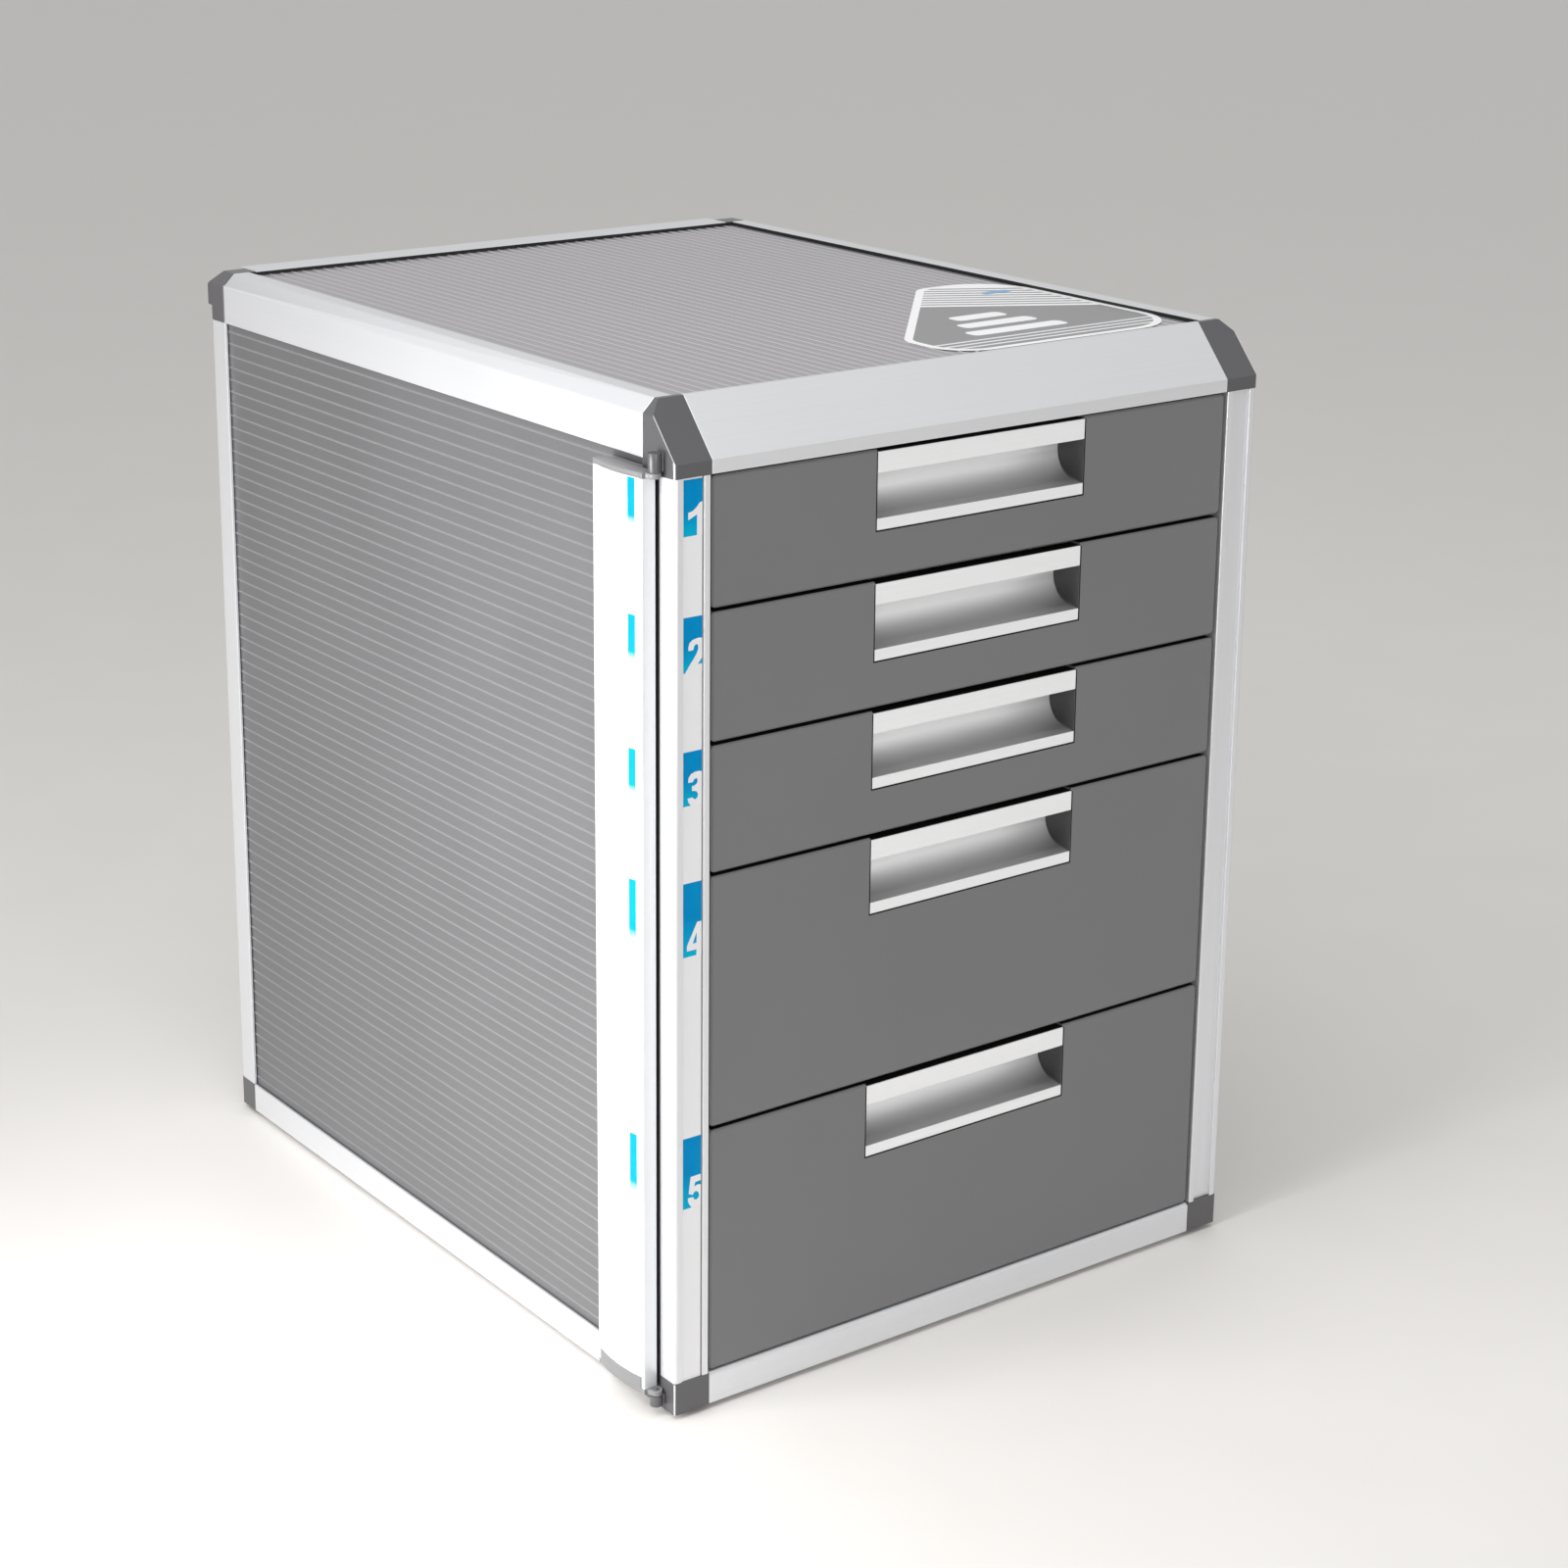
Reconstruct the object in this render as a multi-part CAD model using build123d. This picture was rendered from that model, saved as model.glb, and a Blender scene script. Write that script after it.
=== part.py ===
"""Lockable desktop document box: an aluminium frame with plastic corner blocks, ribbed panels,
five sliding drawers with extruded handles, a side lock that works a locking rod, and an index
bar that swings out on the left side. Millimetres, +Z up, origin under the centre of the box."""
from build123d import *
import math
import os

# Overall frame, without feet, index bar and lock
WIDTH = 300.0
DEPTH = 372.0
BOTTOM_RAIL = 13.8
TALL_PITCH = 106.8
SMALL_PITCH = 53.1
TALL_DRAWERS = 2
SMALL_DRAWERS = 3
TOP_RAIL = 27.0
FOOT_HEIGHT = 2.3
REAR_LIP = 3.0
REAR_LIP_HEIGHT = 16.0

# Frame sections
FRAME_WALL = 1.5
POST_WIDTH = 16.5
FRONT_DEPTH = 21.0
REAR_DEPTH = 13.0
SIDE_RAIL_WIDTH = 13.2
SIDE_TOP_RAIL = 22.4
FRONT_FACE = 5.5
SLOPE_RUN = 18.8
SIDE_CHAMFER = 5.5
CORNER_RADIUS = 1.6
BLOCK_RADIUS = 1.0
BLOCK_OVERHANG = 0.6
TENON_LENGTH = 12.0
TENON_FIT = 0.1

# Ribbed and plain panels and the slots that hold them
PANEL_THICKNESS = 2.0
PANEL_INSET = 1.8
PANEL_FIT = 0.1
PANEL_GRIP = 4.0
TOP_FRONT_GRIP = 2.0
RIB_PITCH = 5.6
RIB_HEIGHT = 0.35
RIB_BASE = 1.0
TOP_RECESS = 2.0
BOTTOM_PANEL_Z = 3.0
REAR_INSET = 1.4

# Number strip in the left front post
GROOVE_START = 3.8
GROOVE_WIDTH = 9.8
GROOVE_DEPTH = 1.5
STRIP_THICKNESS = 0.8
STRIP_FIT = 0.15

# Index bar on the left side
BAR_STANDOFF = 1.2
BAR_SETBACK = 10.6
BAR_WIDTH = 33.0
BAR_THICKNESS = 6.3
BAR_WALL = 1.3
BAR_FRONT_LIP = 2.2
BAR_REAR_LIP = 1.6
BAR_BOTTOM = 7.0
BAR_TOP_DROP = 25.3
BAR_CAP = 2.2
BAR_SPIGOT = 8.0
CARD_BULGE = 1.5
CARD_RECESS = 0.8
CARD_THICKNESS = 0.6
CARD_FIT = 0.05
HINGE_OUT = 2.9
HINGE_BACK = 8.8
HINGE_RADIUS = 2.6
HINGE_PIN = 1.2
HINGE_FIT = 0.05
HINGE_PLAY = 0.2
TONGUE_WIDTH = 5.0
TONGUE_ROOT = 1.0
BOSS_HEIGHT_TOP = 7.3
BOSS_HEIGHT_BOTTOM = 4.6
BOSS_WEB = 2.6

# Drawers
FRONT_RECESS = 0.5
FRONT_GAP = 0.8
SIDE_GAP = 1.3
FRONT_THICKNESS = 18.2
FRONT_WALL = 2.6
FRONT_CORNER = 2.0
FRONT_EDGE = 0.9
TRAY_LENGTH = 333.0
TRAY_WALL = 2.0
TRAY_RISE = 2.2
TRAY_DROP = 7.0
TRAY_CORNER = 6.0
TRAY_SIDE_GAP = 5.5
FLANGE_WIDTH = 4.2
FLANGE_THICKNESS = 2.0
LUG_LENGTH = 10.0
LUG_REACH = 2.4
DRAWER_TRAVEL = 245.0
RUN_GAP = 0.3

# Extruded handle
HANDLE_LENGTH = 107.2
HANDLE_HEIGHT = 31.4
HANDLE_DROP = 1.0
HANDLE_WALL = 1.5
HANDLE_DEPTH = 18.0
HANDLE_BACK = 2.2
HANDLE_BAR = 8.4
HANDLE_BAR_THICKNESS = 2.0
HANDLE_LIP = 4.8
COVE_RADIUS = 11.0
COVE_RISE = 1.2
HANDLE_FIT = 0.1
RETURN_WALL = 2.0

# Runner walls
RUNNER_WALL = 1.8
LEDGE_THICKNESS = 2.0
LEDGE_CLEARANCE = 0.8
GUIDE_CLEARANCE = 1.5
GUIDE_THICKNESS = 1.6
STOP_LENGTH = 8.0
STOP_CLEARANCE = 0.8
WEB_COUNT = 4
WEB_THICKNESS = 2.0
RUNNER_FIT = 0.3

# Lock and locking rod on the right side
LOCK_BACK = 36.0
LOCK_DROP = 45.0
LOCK_BEZEL = 10.0
LOCK_BEZEL_THICKNESS = 2.0
LOCK_BARREL = 8.0
LOCK_PLUG = 5.5
PLUG_FIT = 0.05
LOCK_NUT = 10.5
LOCK_NUT_THICKNESS = 2.6
KEYWAY_WIDTH = 1.6
KEYWAY_HEIGHT = 6.5
KEYWAY_DEPTH = 5.7
CAM_THICKNESS = 1.5
CAM_GAP = 0.3
CAM_PIN = 1.5
ROD_STROKE = 8.0
ROD_THICKNESS = 2.4
ROD_WIDTH = 10.0
ROD_OFFSET = 5.0
ROD_GAP = 0.3
ROD_HEAD = 14.0
ROD_FOOT = 10.0
SLOT_PLAY = 0.5
FINGER_WIDTH = 4.0
FINGER_HEIGHT = 5.0
FINGER_RISE = 21.5
FINGER_TIP_GAP = 1.2
CATCH_LENGTH = 5.0
CATCH_GAP = 0.8
CATCH_REACH = 3.8
CATCH_MARGIN = 1.5
KEEPER_COUNT = 3
KEEPER_HEIGHT = 8.0
KEEPER_WALL = 1.8

# Hooks that hold each drawer front on its tray, and the feet
HOOK_X = 96.0
HOOK_WIDTH = 9.0
HOOK_THICKNESS = 2.0
HOOK_BARB = 1.2
HOOK_HEAD = 2.0
HOOK_PLAY = 0.2
HOOK_TOP_DROP = 13.0
HOOK_LOW_RISE = 9.0
FOOT_SIDE = 11.0

# Values that follow from the sizes above
HEIGHT = BOTTOM_RAIL + TALL_DRAWERS * TALL_PITCH + SMALL_DRAWERS * SMALL_PITCH + TOP_RAIL
OPENING_TOP = HEIGHT - TOP_RAIL
SIDE_RAIL_Z = HEIGHT - SIDE_TOP_RAIL
HALF_WIDTH = WIDTH / 2
HALF_DEPTH = DEPTH / 2
HALF_OPENING = HALF_WIDTH - POST_WIDTH
BLOCK_WIDTH = POST_WIDTH + BLOCK_OVERHANG
SLOT_OUT = PANEL_INSET - RIB_HEIGHT - PANEL_FIT
SLOT_IN = PANEL_INSET + PANEL_THICKNESS + PANEL_FIT
SLOT_DEPTH = PANEL_GRIP + 0.2
TOP_FRONT_SLOT = TOP_FRONT_GRIP + 0.2
LEG_IN = SLOT_IN + FRAME_WALL
REAR_SLOT_OUT = REAR_INSET - PANEL_FIT
REAR_SLOT_IN = REAR_INSET + PANEL_THICKNESS + PANEL_FIT
REAR_LEG_IN = REAR_SLOT_IN + FRAME_WALL
TOP_SLOT_HIGH = HEIGHT - TOP_RECESS + RIB_HEIGHT + PANEL_FIT
TOP_SLOT_LOW = HEIGHT - TOP_RECESS - PANEL_THICKNESS - PANEL_FIT
BOTTOM_SLOT_HIGH = BOTTOM_PANEL_Z + PANEL_THICKNESS + PANEL_FIT
BOTTOM_SLOT_LOW = BOTTOM_PANEL_Z - PANEL_FIT
RAIL_BOX_Z = SIDE_RAIL_Z + SLOT_DEPTH + FRAME_WALL
LOW_BOX_Z = BOTTOM_RAIL - SLOT_DEPTH
POST_BOX_DEPTH = FRONT_DEPTH - SLOT_DEPTH - FRAME_WALL - 1.8
PANEL_INNER = HALF_WIDTH - PANEL_INSET - PANEL_THICKNESS
HALF_FRONT = HALF_OPENING - SIDE_GAP
HALF_TRAY = HALF_OPENING - TRAY_SIDE_GAP
HALF_FLANGE = HALF_TRAY + FLANGE_WIDTH
HALF_LUG = HALF_FLANGE + LUG_REACH
RUNNER_IN = HALF_LUG + RUN_GAP
RUNNER_OUT = RUNNER_IN + RUNNER_WALL
FRONT_Y = -HALF_DEPTH + FRONT_RECESS
TRAY_FRONT_Y = FRONT_Y + FRONT_THICKNESS
TRAY_REAR_Y = TRAY_FRONT_Y + TRAY_LENGTH
LUG_FRONT_Y = TRAY_REAR_Y - LUG_LENGTH
STOP_REAR_Y = LUG_FRONT_Y - DRAWER_TRAVEL - RUN_GAP
BAR_TOP = HEIGHT - BAR_TOP_DROP
BAR_INNER_X = -HALF_WIDTH - BAR_STANDOFF
BAR_OUTER_X = BAR_INNER_X - BAR_THICKNESS
BAR_FRONT_Y = -HALF_DEPTH + BAR_SETBACK
BAR_REAR_Y = BAR_FRONT_Y + BAR_WIDTH
BAR_FLOOR_X = BAR_OUTER_X + CARD_RECESS
CARD_OUTER_X = BAR_FLOOR_X - CARD_BULGE - CARD_FIT - CARD_THICKNESS
HINGE_X = -HALF_WIDTH - HINGE_OUT
HINGE_Y = -HALF_DEPTH + HINGE_BACK
LOCK_Y = -HALF_DEPTH + LOCK_BACK
LOCK_Z = HEIGHT - LOCK_DROP
BEZEL_X = HALF_WIDTH - PANEL_INSET + RIB_HEIGHT
LOCK_OUT_X = BEZEL_X + LOCK_BEZEL_THICKNESS
ROD_IN_X = RUNNER_OUT + ROD_GAP
ROD_OUT_X = ROD_IN_X + ROD_THICKNESS
CAM_IN_X = ROD_OUT_X + CAM_GAP
CAM_OUT_X = CAM_IN_X + CAM_THICKNESS
CAM_RADIUS = ROD_STROKE / math.sqrt(2)
PIN_Y = LOCK_Y + CAM_RADIUS * math.cos(math.pi / 4)
ROD_Y = LOCK_Y + ROD_OFFSET
FINGER_Y = ROD_Y - FINGER_WIDTH / 2
CATCH_Y = ROD_Y + FINGER_WIDTH / 2 + CATCH_GAP

# The part's origin is under the middle of everything, so the frame is shifted by half of what
# stands out further on one side than on the other
ORIGIN_X = (-CARD_OUTER_X - LOCK_OUT_X) / 2
ORIGIN_Y = -REAR_LIP / 2

PITCHES = [TALL_PITCH] * TALL_DRAWERS + [SMALL_PITCH] * SMALL_DRAWERS


def drawer_levels():
    """Bottom and top of each drawer's opening, counted from the top drawer down."""
    levels = []
    low = BOTTOM_RAIL
    for pitch in PITCHES:
        levels.append((low, low + pitch))
        low += pitch
    return levels[::-1]


def save(shape, node):
    """Place a piece in the part's frame and write it."""
    export_step(Pos(ORIGIN_X, ORIGIN_Y, FOOT_HEIGHT) * shape, f"parts/{node}.step")


def face(points):
    return make_face(Polyline(*points, close=True))


def along_x(section, x_low, x_high):
    """Extrude a (y, z) section along X."""
    return Pos(x_low, 0, 0) * extrude(Plane.YZ * section, amount=x_high - x_low)


def along_y(section, y_low, y_high):
    """Extrude an (x, z) section along Y."""
    return Pos(0, y_high, 0) * extrude(Plane.XZ * section, amount=y_high - y_low)


def along_z(section, z_low, z_high):
    """Extrude an (x, y) section along Z."""
    return Pos(0, 0, z_low) * extrude(section, amount=z_high - z_low)


def block(x_low, x_high, y_low, y_high, z_low, z_high):
    """A box given by its six faces."""
    size = (x_high - x_low, y_high - y_low, z_high - z_low)
    middle = ((x_low + x_high) / 2, (y_low + y_high) / 2, (z_low + z_high) / 2)
    return Pos(*middle) * Box(*size)


def rod_x(radius, x_low, x_high, y, z):
    """A cylinder along X."""
    return Pos((x_low + x_high) / 2, y, z) * Rot(0, 90, 0) * Cylinder(radius, x_high - x_low)


def rod_y(radius, y_low, y_high, x, z):
    """A cylinder along Y."""
    return Pos(x, (y_low + y_high) / 2, z) * Rot(90, 0, 0) * Cylinder(radius, y_high - y_low)


def rod_z(radius, z_low, z_high, x, y):
    """A cylinder along Z."""
    return Pos(x, y, (z_low + z_high) / 2) * Cylinder(radius, z_high - z_low)


def other_side(shape):
    """The same piece on the right side."""
    return mirror(shape, about=Plane.YZ)


# Frame sections are written with distances from the outer faces: a counts inwards from the left
# side, b backwards from the front, c forwards from the rear
def at_a(a):
    return -HALF_WIDTH + a


def at_b(b):
    return -HALF_DEPTH + b


def at_c(c):
    return HALF_DEPTH - c


def section_a(points):
    return face([(at_a(a), z) for a, z in points])


def section_b(points):
    return face([(at_b(b), z) for b, z in points])


def section_c(points):
    return face([(at_c(c), z) for c, z in points])


TOP_SIDE_HOLLOW = (FRAME_WALL, SIDE_RAIL_WIDTH - FRAME_WALL,
                   RAIL_BOX_Z + FRAME_WALL, TOP_SLOT_LOW - FRAME_WALL)
LOW_SIDE_HOLLOW = (FRAME_WALL, SIDE_RAIL_WIDTH - SLOT_DEPTH - FRAME_WALL,
                   FRAME_WALL, LOW_BOX_Z - FRAME_WALL)
REAR_TOP_HOLLOW = (FRAME_WALL, REAR_DEPTH - FRAME_WALL,
                   RAIL_BOX_Z + FRAME_WALL, TOP_SLOT_LOW - FRAME_WALL)
REAR_LOW_HOLLOW = (FRAME_WALL, REAR_DEPTH - SLOT_DEPTH - FRAME_WALL,
                   FRAME_WALL, LOW_BOX_Z - FRAME_WALL)
FRONT_LOW_HOLLOW = (FRAME_WALL, FRONT_DEPTH - SLOT_DEPTH - FRAME_WALL,
                    FRAME_WALL, BOTTOM_RAIL - FRAME_WALL)
FRONT_POST_HOLLOW = (FRAME_WALL, POST_WIDTH / 2,
                     GROOVE_DEPTH + FRAME_WALL, POST_BOX_DEPTH - FRAME_WALL)
REAR_POST_HOLLOW = (FRAME_WALL, POST_WIDTH / 2 - 0.5,
                    FRAME_WALL, REAR_DEPTH - SLOT_DEPTH - FRAME_WALL)


def box_points(bounds):
    low, high, z_low, z_high = bounds
    return [(low, z_low), (high, z_low), (high, z_high), (low, z_high)]


def shrunk(bounds, amount):
    low, high, z_low, z_high = bounds
    return (low + amount, high - amount, z_low + amount, z_high - amount)


def slope_line(b, inset):
    """Height of the front slope at a distance b, moved inwards by a wall."""
    rise = (HEIGHT - OPENING_TOP - FRONT_FACE) / SLOPE_RUN
    return OPENING_TOP + FRONT_FACE + rise * b - inset * math.sqrt(1 + rise * rise)


def front_top_hollow(inset):
    low_z = OPENING_TOP + FRAME_WALL + inset
    high_z = TOP_SLOT_LOW - 2 * FRAME_WALL - inset
    near = FRAME_WALL + inset
    far = FRONT_DEPTH - FRAME_WALL - inset
    rise = (HEIGHT - OPENING_TOP - FRONT_FACE) / SLOPE_RUN
    bend = near + (high_z - slope_line(near, near)) / rise
    return [(near, low_z), (far, low_z), (far, high_z), (bend, high_z), (near, slope_line(near, near))]


# Frame members
def side_top_rail():
    outline = section_a([
        (0, SIDE_RAIL_Z), (0, HEIGHT - SIDE_CHAMFER), (SIDE_CHAMFER, HEIGHT),
        (SIDE_RAIL_WIDTH, HEIGHT), (SIDE_RAIL_WIDTH, TOP_SLOT_HIGH),
        (SIDE_RAIL_WIDTH - SLOT_DEPTH, TOP_SLOT_HIGH), (SIDE_RAIL_WIDTH - SLOT_DEPTH, TOP_SLOT_LOW),
        (SIDE_RAIL_WIDTH, TOP_SLOT_LOW), (SIDE_RAIL_WIDTH, RAIL_BOX_Z), (LEG_IN, RAIL_BOX_Z),
        (LEG_IN, SIDE_RAIL_Z), (SLOT_IN, SIDE_RAIL_Z), (SLOT_IN, SIDE_RAIL_Z + SLOT_DEPTH),
        (SLOT_OUT, SIDE_RAIL_Z + SLOT_DEPTH), (SLOT_OUT, SIDE_RAIL_Z)])
    section = outline - section_a(box_points(TOP_SIDE_HOLLOW))
    return along_y(section, at_b(FRONT_DEPTH), at_c(REAR_DEPTH))


def side_bottom_rail():
    outline = section_a([
        (0, 0), (0, BOTTOM_RAIL), (SLOT_OUT, BOTTOM_RAIL), (SLOT_OUT, LOW_BOX_Z),
        (SLOT_IN, LOW_BOX_Z), (SLOT_IN, BOTTOM_RAIL), (LEG_IN, BOTTOM_RAIL), (LEG_IN, LOW_BOX_Z),
        (SIDE_RAIL_WIDTH, LOW_BOX_Z), (SIDE_RAIL_WIDTH, BOTTOM_SLOT_HIGH),
        (SIDE_RAIL_WIDTH - SLOT_DEPTH, BOTTOM_SLOT_HIGH),
        (SIDE_RAIL_WIDTH - SLOT_DEPTH, BOTTOM_SLOT_LOW),
        (SIDE_RAIL_WIDTH, BOTTOM_SLOT_LOW), (SIDE_RAIL_WIDTH, 0)])
    section = outline - section_a(box_points(LOW_SIDE_HOLLOW))
    return along_y(section, at_b(FRONT_DEPTH), at_c(REAR_DEPTH))


def front_top_rail():
    outline = section_b([
        (0, OPENING_TOP), (0, OPENING_TOP + FRONT_FACE), (SLOPE_RUN, HEIGHT), (FRONT_DEPTH, HEIGHT),
        (FRONT_DEPTH, TOP_SLOT_HIGH), (FRONT_DEPTH - TOP_FRONT_SLOT, TOP_SLOT_HIGH),
        (FRONT_DEPTH - TOP_FRONT_SLOT, TOP_SLOT_LOW), (FRONT_DEPTH, TOP_SLOT_LOW),
        (FRONT_DEPTH, OPENING_TOP)])
    section = outline - section_b(front_top_hollow(0))
    return along_x(section, at_a(BLOCK_WIDTH), -at_a(BLOCK_WIDTH))


def front_bottom_rail():
    outline = section_b([
        (0, 0), (0, BOTTOM_RAIL - 1.2), (1.2, BOTTOM_RAIL), (FRONT_DEPTH, BOTTOM_RAIL),
        (FRONT_DEPTH, BOTTOM_SLOT_HIGH), (FRONT_DEPTH - SLOT_DEPTH, BOTTOM_SLOT_HIGH),
        (FRONT_DEPTH - SLOT_DEPTH, BOTTOM_SLOT_LOW), (FRONT_DEPTH, BOTTOM_SLOT_LOW),
        (FRONT_DEPTH, 0)])
    section = outline - section_b(box_points(FRONT_LOW_HOLLOW))
    return along_x(section, at_a(BLOCK_WIDTH), -at_a(BLOCK_WIDTH))


def rear_top_rail():
    outline = section_c([
        (0, SIDE_RAIL_Z), (0, HEIGHT - REAR_LIP_HEIGHT), (-REAR_LIP, HEIGHT - REAR_LIP_HEIGHT),
        (-REAR_LIP, HEIGHT), (REAR_DEPTH, HEIGHT), (REAR_DEPTH, TOP_SLOT_HIGH),
        (REAR_DEPTH - SLOT_DEPTH, TOP_SLOT_HIGH), (REAR_DEPTH - SLOT_DEPTH, TOP_SLOT_LOW),
        (REAR_DEPTH, TOP_SLOT_LOW), (REAR_DEPTH, RAIL_BOX_Z), (REAR_LEG_IN, RAIL_BOX_Z),
        (REAR_LEG_IN, SIDE_RAIL_Z), (REAR_SLOT_IN, SIDE_RAIL_Z),
        (REAR_SLOT_IN, SIDE_RAIL_Z + SLOT_DEPTH), (REAR_SLOT_OUT, SIDE_RAIL_Z + SLOT_DEPTH),
        (REAR_SLOT_OUT, SIDE_RAIL_Z)])
    section = outline - section_c(box_points(REAR_TOP_HOLLOW))
    return along_x(section, at_a(BLOCK_WIDTH), -at_a(BLOCK_WIDTH))


def rear_bottom_rail():
    outline = section_c([
        (0, 0), (0, BOTTOM_RAIL), (REAR_SLOT_OUT, BOTTOM_RAIL), (REAR_SLOT_OUT, LOW_BOX_Z),
        (REAR_SLOT_IN, LOW_BOX_Z), (REAR_SLOT_IN, BOTTOM_RAIL), (REAR_LEG_IN, BOTTOM_RAIL),
        (REAR_LEG_IN, LOW_BOX_Z), (REAR_DEPTH, LOW_BOX_Z), (REAR_DEPTH, BOTTOM_SLOT_HIGH),
        (REAR_DEPTH - SLOT_DEPTH, BOTTOM_SLOT_HIGH), (REAR_DEPTH - SLOT_DEPTH, BOTTOM_SLOT_LOW),
        (REAR_DEPTH, BOTTOM_SLOT_LOW), (REAR_DEPTH, 0)])
    section = outline - section_c(box_points(REAR_LOW_HOLLOW))
    return along_x(section, at_a(BLOCK_WIDTH), -at_a(BLOCK_WIDTH))


def corner_rounded(section, x, y):
    """Round the section's corner that lies at (x, y)."""
    corner = section.vertices().sort_by_distance((x, y, 0))[0]
    return fillet(corner, CORNER_RADIUS)


def front_post():
    groove_end = GROOVE_START + GROOVE_WIDTH
    outline = face([(at_a(a), at_b(b)) for a, b in [
        (0, 0), (GROOVE_START, 0), (GROOVE_START, GROOVE_DEPTH), (groove_end, GROOVE_DEPTH),
        (groove_end, 0), (POST_WIDTH, 0), (POST_WIDTH, POST_BOX_DEPTH), (LEG_IN, POST_BOX_DEPTH),
        (LEG_IN, FRONT_DEPTH), (SLOT_IN, FRONT_DEPTH), (SLOT_IN, FRONT_DEPTH - SLOT_DEPTH),
        (SLOT_OUT, FRONT_DEPTH - SLOT_DEPTH), (SLOT_OUT, FRONT_DEPTH), (0, FRONT_DEPTH)]])
    outline = corner_rounded(outline, at_a(0), at_b(0))
    hollow = face([(at_a(a), at_b(b)) for a, b in box_points(FRONT_POST_HOLLOW)])
    return along_z(outline - hollow, BOTTOM_RAIL, OPENING_TOP)


def rear_post():
    outline = face([(at_a(a), at_c(c)) for a, c in [
        (0, 0), (POST_WIDTH, 0), (POST_WIDTH, REAR_SLOT_OUT),
        (POST_WIDTH - SLOT_DEPTH, REAR_SLOT_OUT), (POST_WIDTH - SLOT_DEPTH, REAR_SLOT_IN),
        (POST_WIDTH, REAR_SLOT_IN), (POST_WIDTH, REAR_DEPTH - SLOT_DEPTH),
        (LEG_IN, REAR_DEPTH - SLOT_DEPTH), (LEG_IN, REAR_DEPTH), (SLOT_IN, REAR_DEPTH),
        (SLOT_IN, REAR_DEPTH - SLOT_DEPTH), (SLOT_OUT, REAR_DEPTH - SLOT_DEPTH),
        (SLOT_OUT, REAR_DEPTH), (0, REAR_DEPTH)]])
    outline = corner_rounded(outline, at_a(0), at_c(0))
    hollow = face([(at_a(a), at_c(c)) for a, c in box_points(REAR_POST_HOLLOW)])
    return along_z(outline - hollow, BOTTOM_RAIL, SIDE_RAIL_Z)


# Corner blocks: moulded, with tenons that plug into the hollows of the three members they join
def side_tenon(hollow, y_low, y_high):
    return along_y(section_a(box_points(shrunk(hollow, TENON_FIT))), y_low, y_high)


def round_upright(body, x, y):
    """Round the upright edge of a block that lies at (x, y)."""
    uprights = body.edges().filter_by(Axis.Z)
    picked = [e for e in uprights if abs(e.center().X - x) < 0.01 and abs(e.center().Y - y) < 0.01]
    return fillet(picked, BLOCK_RADIUS)


def front_top_block():
    profile = section_b([(0, OPENING_TOP), (0, OPENING_TOP + FRONT_FACE), (SLOPE_RUN, HEIGHT),
                         (FRONT_DEPTH, HEIGHT), (FRONT_DEPTH, OPENING_TOP)])
    body = along_x(profile, at_a(0), at_a(BLOCK_WIDTH))
    sides = section_a([(0, OPENING_TOP), (0, HEIGHT - SIDE_CHAMFER), (SIDE_CHAMFER, HEIGHT),
                       (BLOCK_WIDTH, HEIGHT), (BLOCK_WIDTH, OPENING_TOP)])
    body = body & along_y(sides, at_b(0), at_b(FRONT_DEPTH))
    body = round_upright(body, at_a(0), at_b(0))
    body += along_x(section_b(front_top_hollow(TENON_FIT)), at_a(BLOCK_WIDTH),
                    at_a(BLOCK_WIDTH) + TENON_LENGTH)
    body += side_tenon(TOP_SIDE_HOLLOW, at_b(FRONT_DEPTH), at_b(FRONT_DEPTH) + TENON_LENGTH)
    post_tenon = [(at_a(a), at_b(b)) for a, b in box_points(shrunk(FRONT_POST_HOLLOW, TENON_FIT))]
    body += along_z(face(post_tenon), OPENING_TOP - TENON_LENGTH, OPENING_TOP)
    return body


def front_bottom_block():
    body = block(at_a(0), at_a(BLOCK_WIDTH), at_b(0), at_b(FRONT_DEPTH), 0, BOTTOM_RAIL)
    body = round_upright(body, at_a(0), at_b(0))
    body += along_x(section_b(box_points(shrunk(FRONT_LOW_HOLLOW, TENON_FIT))), at_a(BLOCK_WIDTH),
                    at_a(BLOCK_WIDTH) + TENON_LENGTH)
    body += side_tenon(LOW_SIDE_HOLLOW, at_b(FRONT_DEPTH), at_b(FRONT_DEPTH) + TENON_LENGTH)
    post_tenon = [(at_a(a), at_b(b)) for a, b in box_points(shrunk(FRONT_POST_HOLLOW, TENON_FIT))]
    body += along_z(face(post_tenon), BOTTOM_RAIL, BOTTOM_RAIL + TENON_LENGTH)
    return body


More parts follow.
